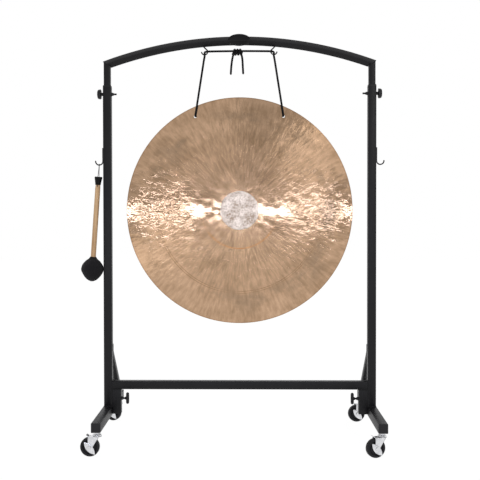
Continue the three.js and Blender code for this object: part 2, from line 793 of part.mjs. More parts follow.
// Casters: a group turns with the fork; inside it +X is the trail and Y the axle
const forkHalf = forkGap / 2;
const legOutside = forkHalf + forkPlate;
const axleHole = axleRadius + boltClearance;
const crown = new THREE.Shape();
crown.moveTo(forkCrownReach, -legOutside);
crown.lineTo(forkCrownReach, legOutside);
crown.lineTo(0, legOutside);
crown.absarc(0, 0, racewayRadius + forkCrownEdge, Math.PI / 2, Math.PI * 1.5);
crown.lineTo(0, -legOutside);
crown.closePath();
const tyreRadius = wheelRadius / Math.cos(Math.PI / wheelSides);
for (const place of casterPlaces) {
  const x = place.side * footCentreX;
  const y = casterY(place.front);
  const racewayTopZ = racewayBottomZ + racewayHeight;
  const stem = turnedZ([
    [0, racewayBottomZ],
    [racewayRadius, racewayBottomZ],
    [racewayRadius, racewayTopZ],
    [collarRadius, racewayTopZ],
    [collarRadius, footBottomZ],
    [stemRadius, footBottomZ],
    [stemRadius, footBottomZ + stemReach],
    [0, footBottomZ + stemReach],
  ]);
  add(`caster_stem_${place.name}`, stem.translate(x, y, 0), zincPlate);

  const caster = new THREE.Group();
  caster.position.set(x, y, 0);
  caster.rotation.z = THREE.MathUtils.degToRad(place.degrees);
  stand.add(caster);

  const crownPlate = new THREE.ExtrudeGeometry(crown, {
    depth: forkPlate,
    curveSegments: 12,
    bevelEnabled: false,
  }).translate(0, 0, forkTopZ - forkPlate);
  const boltHole = rodY(axleHole, -2 * legOutside, 2 * legOutside, casterTrail, wheelRadius);
  const legs = [legOutside, -forkHalf].map(forkLeg);
  add(`caster_fork_${place.name}`, cut(join(crownPlate, ...legs), boltHole), zincPlate, caster);

  const seat = legOutside + fitGap;
  const axle = turnedY([
    [0, -seat - axleHeadLength],
    [axleHeadRadius, -seat - axleHeadLength],
    [axleHeadRadius, -seat],
    [axleRadius, -seat],
    [axleRadius, seat],
    [axleHeadRadius, seat],
    [axleHeadRadius, seat + axleNutLength],
    [0, seat + axleNutLength],
  ], roundSides).translate(casterTrail, 0, wheelRadius);
  add(`caster_axle_${place.name}`, axle, zincPlate, caster);

  const hub = wheelHubWidth / 2;
  const half = wheelWidth / 2;
  const wheel = turnedY([
    [axleHole, -hub],
    [wheelHubRadius, -hub],
    [tyreRadius - wheelShoulder, -half],
    [tyreRadius, wheelShoulder - half],
    [tyreRadius, half - wheelShoulder],
    [tyreRadius - wheelShoulder, half],
    [wheelHubRadius, hub],
    [axleHole, hub],
    [axleHole, -hub],
  ], wheelSides);
  wheel.rotateY(Math.PI / wheelSides).translate(casterTrail, 0, wheelRadius);
  add(`caster_wheel_${place.name}`, wheel, rubberBlack, caster);

  const pedalHalf = forkHalf - fitGap;
  const pedalBottomZ = forkTopZ - forkPlate + fitGap;
  const pedalTopZ = pedalBottomZ + pedalThickness;
  const pedalStart = forkCrownReach + pedalHingeGap;
  const pedalBend = pedalStart + pedalFlat;
  const pedalEnd = pedalStart + pedalReach;
  const pedalSide = new THREE.Shape();
  pedalSide.moveTo(pedalStart, pedalBottomZ);
  pedalSide.lineTo(pedalBend, pedalBottomZ);
  pedalSide.lineTo(pedalEnd, pedalBottomZ + pedalRise);
  pedalSide.lineTo(pedalEnd - pedalEndSlant, pedalTopZ + pedalRise);
  pedalSide.lineTo(pedalBend - pedalEndSlant, pedalTopZ);
  pedalSide.lineTo(pedalStart, pedalTopZ);
  pedalSide.closePath();
  const pedal = new THREE.ExtrudeGeometry(pedalSide, { depth: 2 * pedalHalf, bevelEnabled: false });
  pedal.rotateX(Math.PI / 2).translate(0, pedalHalf, 0);
  add(`caster_pedal_${place.name}`, pedal, zincPlate, caster);
}

// The origin is the middle of the floor area that the stand covers
const bounds = new THREE.Box3().setFromObject(stand, true);
stand.position.set(-(bounds.min.x + bounds.max.x) / 2, -(bounds.min.y + bounds.max.y) / 2, 0);

export default stand;
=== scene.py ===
import math
import random

import bmesh
import bpy
from mathutils import Euler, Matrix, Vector, noise


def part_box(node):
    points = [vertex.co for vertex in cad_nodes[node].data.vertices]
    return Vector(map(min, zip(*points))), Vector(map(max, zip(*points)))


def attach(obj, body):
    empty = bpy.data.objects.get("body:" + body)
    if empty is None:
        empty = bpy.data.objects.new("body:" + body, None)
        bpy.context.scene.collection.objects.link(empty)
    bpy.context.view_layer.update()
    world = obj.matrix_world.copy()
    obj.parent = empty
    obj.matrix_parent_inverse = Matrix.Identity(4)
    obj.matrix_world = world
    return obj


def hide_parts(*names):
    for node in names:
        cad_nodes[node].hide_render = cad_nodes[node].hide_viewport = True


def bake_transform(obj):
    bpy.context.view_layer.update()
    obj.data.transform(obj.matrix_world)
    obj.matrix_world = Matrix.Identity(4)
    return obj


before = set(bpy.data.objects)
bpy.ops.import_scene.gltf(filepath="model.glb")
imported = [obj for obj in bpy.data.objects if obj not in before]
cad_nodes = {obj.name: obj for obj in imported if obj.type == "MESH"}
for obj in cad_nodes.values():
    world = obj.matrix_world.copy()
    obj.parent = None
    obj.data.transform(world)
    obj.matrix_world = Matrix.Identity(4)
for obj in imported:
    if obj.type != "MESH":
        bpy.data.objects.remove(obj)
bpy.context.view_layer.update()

# The camera stands about four metres in front of the stand, near the height of the gong's
# middle, and is turned and tipped a little, as the photograph's view is. The stand's own middle
# is the middle of its crossbar, and every place below is measured from it.
crossbar_low, crossbar_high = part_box("crossbar")
stand_middle = (crossbar_low + crossbar_high) / 2


def place(x, y, z):
    return Vector((stand_middle.x + x / 1000, stand_middle.y + y / 1000, z / 1000))


camera_data = bpy.data.cameras.new("camera")
camera_data.sensor_width = 36
camera_data.lens = 71.85
camera_data.shift_x = 0.02585
camera_data.shift_y = -0.01883
camera_data.clip_end = 60
camera = bpy.data.objects.new("camera", camera_data)
bpy.context.scene.collection.objects.link(camera)
camera.location = place(29.2, -4080, 968)
camera_yaw = 0.01954
camera_dip = 0.02017
camera_roll = -0.00154
camera.rotation_mode = "QUATERNION"
camera.rotation_quaternion = (
    Euler((0, 0, camera_yaw)).to_quaternion()
    @ Euler((math.pi / 2 - camera_dip, 0, 0)).to_quaternion()
    @ Euler((0, 0, camera_roll)).to_quaternion()
)
bpy.context.scene.camera = camera

# The hanging cord is one black three-strand polyester rope of 9 mm, laid with a turn of each
# strand every 29 mm. It runs taut from hook to hook in front of the arch's hooks, over their
# wires, down to the gong, through its two holes and across behind it.
rope_radius = 4.5
rope_lay = 29
rope_step = 1.5
rope_ring = 18
round_shading = 80
hook_x = 147
hook_z = 1647
hook_radius = 13
hang_y = 7.6


def linear(hex_colour):
    channels = [int(hex_colour[i:i + 2], 16) / 255 for i in (1, 3, 5)]
    return [c / 12.92 if c <= 0.04045 else ((c + 0.055) / 1.055) ** 2.4 for c in channels] + [1]


def add_node(tree, kind, settings=(), **inputs):
    node = tree.nodes.new("ShaderNode" + kind)
    for name, value in dict(settings).items():
        setattr(node, name, value)
    for name, value in inputs.items():
        socket = node.inputs[int(name[1:]) if name[1:].isdigit() else name.replace("_", " ")]
        if isinstance(value, bpy.types.NodeSocket):
            tree.links.new(value, socket)
        else:
            socket.default_value = value
    return node


def new_finish(name, **values):
    finish = bpy.data.materials.new(name)
    finish.use_nodes = True
    tree = finish.node_tree
    shader = tree.nodes["Principled BSDF"]
    for socket, value in values.items():
        shader.inputs[socket.replace("_", " ")].default_value = value
    return finish, tree, shader


def patterned(tree, shader, pattern, colours=(), ramp=(0, 1), dull=(), relief=()):
    """Lets one pattern vary what is given: colours, the lowest and highest roughness in dull,
    and the strength and depth of the relief. Noise keeps mostly between 0.3 and 0.7."""
    if colours:
        shade = add_node(tree, "ValToRGB", Fac=pattern)
        for stop, position, colour in zip(shade.color_ramp.elements, ramp, colours):
            stop.position = position
            stop.color = linear(colour)
        tree.links.new(shade.outputs["Color"], shader.inputs["Base Color"])
    if dull:
        gloss = add_node(tree, "MapRange", _0=pattern, _1=0.3, _2=0.7, _3=dull[0], _4=dull[1])
        tree.links.new(gloss.outputs["Result"], shader.inputs["Roughness"])
    if relief:
        skin = add_node(tree, "Bump", Strength=relief[0], Distance=relief[1], Height=pattern)
        tree.links.new(skin.outputs["Normal"], shader.inputs["Normal"])


def dress(name, mesh, finish, body, slot, *nodes, smooth_below=35):
    mesh.materials.clear()
    mesh.materials.append(finish)
    mesh.polygons.foreach_set("use_smooth", [True] * len(mesh.polygons))
    mesh.set_sharp_from_angle(angle=math.radians(smooth_below))
    piece = bpy.data.objects.new(name, mesh)
    bpy.context.scene.collection.objects.link(piece)
    if body:
        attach(piece, body)
    if nodes:
        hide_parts(*nodes)
    return piece


def new_mesh(name, points, faces):
    mesh = bpy.data.meshes.new(name)
    mesh.from_pydata([tuple(p) for p in points], [], faces)
    mesh.validate()
    mesh.update()
    return mesh


def smooth_line(points, step, fine_steps=24):
    """Points every step along the centripetal Catmull-Rom line through the given ones."""
    ends = [points[0] * 2 - points[1], *points, points[-1] * 2 - points[-2]]
    fine = []
    for p0, p1, p2, p3 in zip(ends, ends[1:], ends[2:], ends[3:]):
        t1 = (p1 - p0).length ** 0.5
        t2 = t1 + (p2 - p1).length ** 0.5
        t3 = t2 + (p3 - p2).length ** 0.5
        for i in range(fine_steps):
            t = t1 + (t2 - t1) * i / fine_steps
            a1 = p0.lerp(p1, t / t1)
            a2 = p1.lerp(p2, (t - t1) / (t2 - t1))
            a3 = p2.lerp(p3, (t - t2) / (t3 - t2))
            b1 = a1.lerp(a2, t / t2)
            b2 = a2.lerp(a3, (t - t1) / (t3 - t1))
            fine.append(b1.lerp(b2, (t - t1) / (t2 - t1)))
    fine.append(points[-1].copy())
    marks = [0]
    for a, b in zip(fine, fine[1:]):
        marks.append(marks[-1] + (b - a).length)
    count = max(2, round(marks[-1] / step))
    even = []
    j = 0
    for i in range(count + 1):
        wanted = marks[-1] * i / count
        while j < len(marks) - 2 and marks[j + 1] < wanted:
            j += 1
        share = (wanted - marks[j]) / max(1e-9, marks[j + 1] - marks[j])
        even.append(fine[j].lerp(fine[j + 1], share))
    return even


def swept(name, path, section, closed=False):
    """A tube along path. section(share, distance) gives a ring of [side, up] offsets."""
    count = len(path)
    points = []
    faces = []
    side = None
    distance = 0
    total = sum((b - a).length for a, b in zip(path, path[1:]))
    for i, here in enumerate(path):
        before = path[i - 1] if i or closed else here
        after = path[(i + 1) % count] if i < count - 1 or closed else here
        along = (after - before).normalized()
        if side is None:
            side = along.orthogonal().normalized()
        side = (side - along * side.dot(along)).normalized()
        up = along.cross(side)
        if i:
            distance += (here - path[i - 1]).length
        ring = section(distance / total, distance)
        points += [here + side * a + up * b for a, b in ring]
    n = len(ring)
    rings = count if closed else count - 1
    for i in range(rings):
        for j in range(n):
            a = i * n + j
            b = i * n + (j + 1) % n
            c = ((i + 1) % count) * n
            faces.append((a, b, c + (j + 1) % n, c + j))
    if not closed:
        faces.append(tuple(reversed(range(n))))
        faces.append(tuple(range((count - 1) * n, count * n)))
    return new_mesh(name, points, faces)


def rope_section(radius, lay, tip_length=0, strands=3, groove=0.11):
    def section(share, distance):
        turn = 2 * math.pi * distance / lay
        from_tip = tip_length and min(1, (1 - share) * tip_length)
        size = radius if not tip_length else radius * math.sqrt(max(0.02, 1 - (1 - from_tip) ** 2))
        ring = []
        for i in range(rope_ring):
            angle = 2 * math.pi * i / rope_ring
            lobe = abs(math.cos((angle - turn) * strands / 2))
            reach = size * (1 - groove * (1 - lobe) ** 1.5)
            ring.append((reach * math.cos(angle), reach * math.sin(angle)))
        return ring
    return section


# Black dyed polyester: matt, with a faint sheen from its fibres, which are drawn 0.7 mm wide.
black_polyester, tree, shader = new_finish(
    "black_polyester_rope", Roughness=0.75, Sheen_Weight=0.05, Specular_IOR_Level=0.2
)
shader.inputs["Sheen Tint"].default_value = linear("#77747c")
shader.inputs["Sheen Roughness"].default_value = 0.4
spot = add_node(tree, "TexCoord").outputs["Object"]
fibre = add_node(tree, "TexNoise", Vector=spot, Scale=1400.0, Detail=2.0).outputs["Fac"]
patterned(tree, shader, fibre, ("#060507", "#131215"), relief=(0.5, 0.0004))

half_run = [
    (0, -9, 0.5),
    (60, -9, 0.2),
    (118, -9, -0.5),
    (134, -9, -1),
    (142, -7.5, -2),
    (146.2, -3.6, -3.9),
    (hook_x, 0.5, -5.1),
    (hook_x, 4.6, -6.9),
    (hook_x, hang_y, -10.5),
    (hook_x, hang_y, -hook_radius),
]
half_loop = [
    (hook_x, hang_y, -hook_radius - 1.3),
    (147.2, hang_y, -18),
    (150.1, hang_y, -33.5),
    (163.2, 7.4, -117),
    (178, 7.1, -211),
    (185.2, 6.9, -256),
    (186.9, 6.9, -265),
    (187.4, 8.3, -269.6),
    (187.5, 12.7, -271.4),
    (187.5, 15.7, -271.4),
    (185.7, 20.4, -271.4),
    (181.5, 22.6, -271.5),
    (172, 23, -271.6),
    (120, 23, -271.8),
    (60, 23, -272),
]


def hung(points, side=1):
    return [place(side * x, y, hook_z + z) for x, y, z in points]


rope = rope_radius / 1000
run_path = smooth_line(hung(reversed(half_run)) + hung(half_run[1:], -1), rope_step / 1000)
run_mesh = swept("cord_run", run_path, rope_section(rope, rope_lay / 1000))
cord_run = dress(
    "cord_run", run_mesh, black_polyester, "arch", "cord", "hook_cord",
    smooth_below=round_shading,
)

loop_path = smooth_line(hung(half_loop) + hung(reversed(half_loop), -1), rope_step / 1000)
loop_mesh = swept("cord_loop", loop_path, rope_section(rope, rope_lay / 1000))
cord_loop = dress(
    "cord_loop", loop_mesh, black_polyester, "hung_gong", "cord", "gong_cord",
    smooth_below=round_shading,
)

# The knot closes the cord in the middle of its top run: both ends are wound round the run and
# hang down in front of the gong's top edge. Each end is heat-sealed to a rounded tip.
knot_turns = 3.25
knot_from = -26
knot_to = 12
knot_middle = (-10, -4)
knot_reach = (6.2, 9.2)
tail_tip = 18
left_tail = [(-15, -15.5, -8), (-24, -15, -16), (-29, -12.5, -32), (-33, -11, -60)]
left_tail += [(-36, -10, -100)]
right_tail = [(6, -15.5, -8), (10.5, -15, -19), (13.5, -12, -36), (15, -11, -62), (17, -10, -98)]
knot_line = []
for i in range(40):
    share = i / 39
    turn = -math.pi / 2 - 2 * math.pi * knot_turns * share
    swell = 1 + 0.16 * math.sin(math.pi * share) + 0.05 * math.sin(9 * share)
    knot_line.append((
        knot_from + (knot_to - knot_from) * share + 1.5 * math.sin(turn),
        knot_middle[0] + knot_reach[0] * swell * math.cos(turn),
        knot_middle[1] + knot_reach[1] * swell * math.sin(turn),
    ))
knot_path = smooth_line(hung(knot_line), rope_step / 1000)
knot_mesh = swept("knot", knot_path, rope_section(1.05 * rope, rope_lay / 1000))
knot = dress("knot", knot_mesh, black_polyester, "arch", "cord", smooth_below=round_shading)
for name, tail in (("left", left_tail), ("right", right_tail)):
    tail_path = smooth_line(hung(tail), rope_step / 1000)
    tail_section = rope_section(rope, rope_lay / 1000, tail_tip)
    tail_mesh = swept(f"{name}_tail", tail_path, tail_section)
    cord_tail = dress(
        f"{name}_tail", tail_mesh, black_polyester, "arch", "cord", smooth_below=round_shading
    )

# The frame is square steel tube, mitred and MIG-welded, then powder-coated black as a whole. The
# tubes keep the solids' sizes and holes, with the rolled corners and the cut ends rounded off.
sides = (("left", -1), ("right", 1))
tube_corner = 1.1
upright_x = 561.5
upright_half = 17.5
foot_top_z = 138
brace_x = 556.5
brace_half = 12.5
brace_top_z = (368, 400)
brace_foot_y = (308, 340)
crossbar_leg_x = (506, 543)
crossbar_low_z = 211
mitre_outer = (575.5, 1604)
mitre_inner = (547.5, 1584.4)
arch_size = 28
weld_radius = 2.2
weld_ripple = 3.2
weld_step = 0.8
weld_proud = 0.4


def refined(name, node, rounding, segments=3, steepest=25):
    """The named solid's mesh with its sharp edges rounded, by a radius in millimetres."""
    shape = bmesh.new()
    shape.from_mesh(cad_nodes[node].data)
    bmesh.ops.remove_doubles(shape, verts=shape.verts, dist=1e-6)
    bmesh.ops.dissolve_limit(
        shape, angle_limit=math.radians(0.8), verts=shape.verts, edges=shape.edges
    )
    steep = math.radians(steepest)
    sharp = [e for e in shape.edges if e.is_manifold and e.calc_face_angle() > steep]
    bmesh.ops.bevel(
        shape, geom=sharp, offset=rounding / 1000, segments=segments, profile=0.5,
        affect="EDGES", clamp_overlap=True,
    )
    mesh = bpy.data.meshes.new(name)
    shape.to_mesh(mesh)
    shape.free()
    return mesh


def circle(radius, count):
    turns = [2 * math.pi * i / count for i in range(count)]
    return [(radius * math.cos(turn), radius * math.sin(turn)) for turn in turns]


def bead(name, corners, body, radius=weld_radius):
    """A rippled weld bead round the corners, which are given in millimetres."""
    path = []
    ends = [place(*corner) for corner in corners]
    for a, b in zip(ends, ends[1:] + ends[:1]):
        steps = max(2, round((b - a).length * 1000 / weld_step))
        path += [a.lerp(b, i / steps) for i in range(steps)]

    def section(share, distance):
        pulse = abs(math.sin(math.pi * distance * 1000 / weld_ripple))
        return circle(radius / 1000 * (0.82 + 0.18 * pulse), 8)

    mesh = swept(name, path, section, closed=True)
    dress(name, mesh, powder_coat, body, "powder_coat", smooth_below=round_shading)


def level_square(low_x, high_x, low_y, high_y, z):
    return [(low_x, low_y, z), (high_x, low_y, z), (high_x, high_y, z), (low_x, high_y, z)]


# Satin black polyester powder coat: smooth melted skin with a fine orange peel, which breaks up
# the white of the room along the tubes' edges. The peel is drawn 4 mm wide, coarser than life,
# so that it shows at the distance of the camera, and the black clouds a little over 70 mm.
powder_coat, tree, shader = new_finish("black_powder_coat", IOR=1.5, Specular_IOR_Level=0.25)
spot = add_node(tree, "TexCoord").outputs["Object"]
cloud = add_node(tree, "TexNoise", Vector=spot, Scale=14.0, Detail=3.0).outputs["Fac"]
patterned(tree, shader, cloud, ("#0f0e11", "#151417"), ramp=(0.35, 0.65))
peel = add_node(tree, "TexNoise", Vector=spot, Scale=250.0, Detail=2.0, Roughness=0.6)
patterned(tree, shader, peel.outputs["Fac"], dull=(0.36, 0.5), relief=(0.35, 0.0003))

for side, sign in sides:
    for node, body in (
        (f"upright_{side}", "frame"),
        (f"foot_{side}", "frame"),
        (f"crossbar_leg_{side}", "frame"),
        (f"brace_{side}", "frame"),
        (f"arch_leg_{side}", "arch"),
    ):
        mesh = refined(node + "_tube", node, tube_corner)
        dress(node + "_tube", mesh, powder_coat, body, "powder_coat", node)

    seam_z = foot_top_z + weld_proud
    seam_half = upright_half + 0.1
    middle_x = upright_x * sign
    upright_foot = level_square(
        middle_x - seam_half, middle_x + seam_half, -seam_half, seam_half, seam_z
    )
    bead(f"weld_upright_{side}", upright_foot, "frame")

    low_x = brace_x * sign - brace_half
    high_x = brace_x * sign + brace_half
    seam_y = upright_half + weld_proud
    brace_top = [(low_x, seam_y, brace_top_z[1]), (high_x, seam_y, brace_top_z[1])]
    brace_top += [(high_x, seam_y, brace_top_z[0]), (low_x, seam_y, brace_top_z[0])]
    bead(f"weld_brace_top_{side}", brace_top, "frame")
    brace_foot = level_square(low_x, high_x, *brace_foot_y, seam_z)
    bead(f"weld_brace_foot_{side}", brace_foot, "frame")

    near_x, far_x = (x * sign for x in crossbar_leg_x)
    leg_top = level_square(near_x, far_x, upright_half, -upright_half, crossbar_low_z - 0.2)
    bead(f"weld_crossbar_{side}", leg_top, "frame")

    half = arch_size / 2
    inner_x, inner_z = mitre_inner[0] * sign, mitre_inner[1]
    outer_x, outer_z = mitre_outer[0] * sign, mitre_outer[1]
    mitre = [(inner_x, -half, inner_z), (outer_x, -half, outer_z)]
    mitre += [(outer_x, half, outer_z), (inner_x, half, inner_z)]
    bead(f"weld_arch_{side}", mitre, "arch")

mesh = refined("crossbar_tube", "crossbar", tube_corner)
dress("crossbar_tube", mesh, powder_coat, "frame", "powder_coat", "crossbar")

# The top is one 28 mm tube of the same steel, rolled to a flat arch of 1.66 m radius. It is cut
# on a slant at both ends and welded there to the legs that slide in the uprights.
arch_radius = 1676
arch_centre_z = 30
arch_steps = 96
arch_corner = 2.5
arch_spare = 1.03


def rounded_square(half, corner, steps=5):
    ring = []
    for quarter, (a, b) in enumerate(((1, 1), (-1, 1), (-1, -1), (1, -1))):
        for i in range(steps + 1):
            turn = math.pi / 2 * (quarter + i / steps)
            ring.append((
                (a * (half - corner) + corner * math.cos(turn)) / 1000,
                (b * (half - corner) + corner * math.sin(turn)) / 1000,
            ))
    return ring


arch_half_angle = arch_spare * math.asin(mitre_outer[0] / arch_radius)
middle_radius = arch_radius - arch_size / 2
arch_line = []
for i in range(arch_steps + 1):
    turn = arch_half_angle * (2 * i / arch_steps - 1)
    arch_line.append(place(
        middle_radius * math.sin(turn), 0, arch_centre_z + middle_radius * math.cos(turn)
    ))
arch_ring = rounded_square(arch_size / 2, arch_corner)
mesh = swept("arch_tube", arch_line, lambda share, distance: arch_ring)
shape = bmesh.new()
shape.from_mesh(mesh)
for sign in (-1, 1):
    normal = Vector((sign * (mitre_outer[1] - mitre_inner[1]), 0, mitre_inner[0] - mitre_outer[0]))
    cut = bmesh.ops.bisect_plane(
        shape, geom=shape.verts[:] + shape.edges[:] + shape.faces[:],
        plane_co=place(sign * mitre_inner[0], 0, mitre_inner[1]), plane_no=normal.normalized(),
        clear_outer=True,
    )
    rim = [e for e in cut["geom_cut"] if isinstance(e, bmesh.types.BMEdge)]
    bmesh.ops.edgeloop_fill(shape, edges=rim)
shape.to_mesh(mesh)
shape.free()
dress("arch_tube", mesh, powder_coat, "arch", "powder_coat", "arch_bar")

# Plastic fittings: the guide bushes in the uprights' mouths, the plugs in the ends of the feet,
# and the knobs. All are moulded black nylon, which has a low sheen and the spark-eroded grain of
# its mould, drawn 1.1 mm wide.
moulded_nylon, tree, shader = new_finish("moulded_black_nylon", IOR=1.53, Specular_IOR_Level=0.3)
spot = add_node(tree, "TexCoord").outputs["Object"]
grain = add_node(tree, "TexNoise", Vector=spot, Scale=900.0, Detail=3.0, Roughness=0.65)
patterned(
    tree, shader, grain.outputs["Fac"], ("#0f0e11", "#1a191c"), dull=(0.34, 0.5),
    relief=(0.4, 0.0002),
)

for side in ("left", "right"):
    node = f"leg_bush_{side}"
    mesh = refined(node + "_collar", node, 0.7)
    dress(node + "_collar", mesh, moulded_nylon, "frame", "bush_plastic", node)
    for end in ("front", "rear"):
        node = f"foot_cap_{end}_{side}"
        mesh = refined(node + "_plug", node, 0.6)
        dress(node + "_plug", mesh, moulded_nylon, "frame", "cap_plastic", node)


def turned(name, profile, centre, axis, steps=48):
    """A lathe-turned piece: profile is [radius, distance along axis] pairs in millimetres."""
    along = Vector(axis).normalized()
    side = along.orthogonal().normalized()
    up = along.cross(side)
    points = []
    faces = []
    for radius, height in profile:
        for i in range(steps):
            turn = 2 * math.pi * i / steps
            arm = side * math.cos(turn) + up * math.sin(turn)
            points.append(centre + (along * height + arm * max(radius, 0.02)) / 1000)
    for i in range(len(profile) - 1):
        for j in range(steps):
            k = (j + 1) % steps
            faces.append((i * steps + j, i * steps + k, (i + 1) * steps + k, (i + 1) * steps + j))
    faces.append(tuple(reversed(range(steps))))
    faces.append(tuple(range((len(profile) - 1) * steps, len(profile) * steps)))
    return new_mesh(name, points, faces)


# Height knobs: a mushroom grip of 42 mm on a neck, moulded round the head of an M8 bolt, which
# goes through the upright and the arch's leg into a conical nut on the inner side.
bolt_z = 1468
thread_step = 0.62
thread_radii = (3.55, 3.95)
knob_radius = 21
knob_edge = 2.5

# Blackened steel: a dull dark mirror, clouded by its oxide every 3 mm.
blackened_steel, tree, shader = new_finish("blackened_steel", Metallic=0.85, Roughness=0.34)
spot = add_node(tree, "TexCoord").outputs["Object"]
oxide = add_node(tree, "TexNoise", Vector=spot, Scale=300.0, Detail=3.0).outputs["Fac"]
patterned(tree, shader, oxide, ("#161517", "#2f2d30"))


def thread(start, count):
    """The outline of a screw's thread, up and down from root to crest."""
    return [(thread_radii[i % 2], start + thread_step * i) for i in range(count)]


for side, sign in sides:
    outer = place((upright_x + upright_half) * sign, 0, bolt_z)
    grip = [(4, 0.3), (7.4, 0.3), (7, 1.2), (7, 7.6), (9.5, 8.6), (17, 9)]
    for i in range(5, -1, -1):
        turn = math.pi / 2 * i / 5
        inset = knob_edge * (1 - math.cos(turn))
        grip.append((knob_radius - inset, 9 + knob_edge * (1 - math.sin(turn))))
    grip += [(20.9, 13), (20.5, 17), (19.5, 20.5)]
    grip += [(17.5, 23.2), (13, 24.7), (8, 25), (7.4, 24.4), (0, 24.3)]
    mesh = turned(f"height_knob_{side}_grip", grip, outer, (sign, 0, 0), 64)
    dress(
        f"height_knob_{side}_grip", mesh, moulded_nylon, f"{side}_height_knob", "knob_plastic",
        f"height_knob_{side}",
    )
    bolt = [(3.2, -57), (3.9, -56.2), *thread(-55.6, 36), (4, -33), (4, 1)]
    mesh = turned(f"height_bolt_{side}", bolt, outer, (sign, 0, 0), 32)
    dress(f"height_bolt_{side}", mesh, blackened_steel, f"{side}_height_knob", "knob_plastic")
    nut = [(4.4, 0), (8, 0), (8, 1.6), (7.7, 2), (6.6, 5.5), (5.7, 9.2), (5.2, 10), (4.4, 10)]
    inner = place((upright_x - upright_half) * sign, 0, bolt_z)
    mesh = turned(f"height_nut_{side}_cone", nut, inner, (-sign, 0, 0))
    dress(
        f"height_nut_{side}_cone", mesh, moulded_nylon, "frame", "knob_plastic",
        f"height_nut_{side}",
    )

# Crossbar knobs: a T-shaped grip with a cone, moulded on a screw that runs through a threaded
# collar on the crossbar's leg and holds it to the upright.
screw_z = 170
bar_x = 480
bar_length = 50
bar_radius = 7


def bar_section(share, distance):
    end = abs(2 * share - 1)
    size = math.sqrt(max(0.04, 1 - max(0, (end - 0.76) / 0.24) ** 2)) * (1 - 0.1 * end ** 2)
    return circle(bar_radius * size / 1000, 24)


for side, sign in sides:
    knob_body = f"{side}_crossbar_knob"
    seat = place(crossbar_leg_x[0] * sign, 0, screw_z)
    collar = [(4.4, 0), (7.5, 0), (7.5, 4.5), (7.1, 5.2), (5.7, 8.7), (5.2, 9), (4.4, 9)]
    mesh = turned(f"crossbar_nut_{side}_collar", collar, seat, (-sign, 0, 0))
    dress(
        f"crossbar_nut_{side}_collar", mesh, moulded_nylon, "frame", "knob_plastic",
        f"crossbar_nut_{side}",
    )
    screw = [(3.2, -46), (3.9, -45.2), *thread(-44.6, 94), (4, 13.8), (4, 14.5)]
    mesh = turned(f"crossbar_screw_{side}", screw, seat, (-sign, 0, 0), 32)
    dress(f"crossbar_screw_{side}", mesh, blackened_steel, knob_body, "knob_plastic")
    cone = [(4, 13), (4.6, 13), (5.1, 13.8), (6.5, 18), (8.4, 23.5), (9, 26), (5, 28)]
    mesh = turned(f"crossbar_knob_{side}_cone", cone, seat, (-sign, 0, 0))
    dress(
        f"crossbar_knob_{side}_cone", mesh, moulded_nylon, knob_body, "knob_plastic",
        f"crossbar_knob_{side}",
    )
    bar_line = [
        place(bar_x * sign, 0, screw_z + bar_length / 2 * (i / 12 - 1)) for i in range(25)
    ]
    mesh = swept(f"crossbar_knob_{side}_bar", bar_line, bar_section)
    dress(f"crossbar_knob_{side}_bar", mesh, moulded_nylon, knob_body, "knob_plastic")

# The two hooks under the arch are bent from 5.5 mm steel wire, welded to the tube and coated
# black with it. Each comes down from the arch, turns under the cord and ends in a rounded tip.
wire_radius = 2.75
wire_step = 1.2
hook_mouth = 160
hook_root = (151.1, 1671.4)
hook_neck = (150, 1667)
wire_weld = 1.3


def wire_section(radius, tip):
    def section(share, distance):
        left = max(0.0, 1 - (1 - share) / tip)
        return circle(radius / 1000 * math.sqrt(max(0.03, 1 - left * left)), 16)
    return section


def crook(centre_x, centre_z, radius, start, end, sign, steps=14):
    turns = [math.radians(start + (end - start) * i / steps) for i in range(steps + 1)]
    return [
        place(sign * (centre_x + radius * math.cos(turn)), 0, centre_z + radius * math.sin(turn))
        for turn in turns
    ]


for side, sign in sides:
    root = [place(sign * x, 0, z) for x, z in (hook_root, hook_neck)]
    bend = crook(hook_x, hook_z, hook_radius, hook_mouth, 360, sign)
    wire_line = smooth_line([*root, *bend], wire_step / 1000)
    mesh = swept(f"gong_hook_{side}_wire", wire_line, wire_section(wire_radius, 0.035))
    dress(
        f"gong_hook_{side}_wire", mesh, powder_coat, "arch", "hook_zinc", f"gong_hook_{side}",
        smooth_below=round_shading,
    )
    round_root = [
        (sign * hook_root[0] + a, b, hook_root[1] - 0.5) for a, b in circle(2.9, 12)
    ]
    bead(f"weld_gong_hook_{side}", round_root, "arch", wire_weld)

# The badge is a plain oval pressed plate, enamelled glossy black, with a thin raised rim. It is
# fixed to the front of the arch and stands a little above it.
badge_half = (48.5, 25.5)
badge_front_y = -18.3
badge_back_y = -14.3
badge_z = 1693.5
badge_rim_inset = 2.6
badge_rim_radius = 0.55

# Black vitreous enamel: glassy, and wavy every 17 mm where it flowed in the kiln, so that the
# room's reflection is bent.
black_enamel, tree, shader = new_finish(
    "black_vitreous_enamel", Roughness=0.2, Coat_Weight=0.15, Coat_Roughness=0.06, IOR=1.5,
    Specular_IOR_Level=0.15,
)
shader.inputs["Base Color"].default_value = linear("#070608")
spot = add_node(tree, "TexCoord").outputs["Object"]
flow = add_node(tree, "TexNoise", Vector=spot, Scale=60.0, Detail=2.0).outputs["Fac"]
patterned(tree, shader, flow, relief=(0.25, 0.0004))


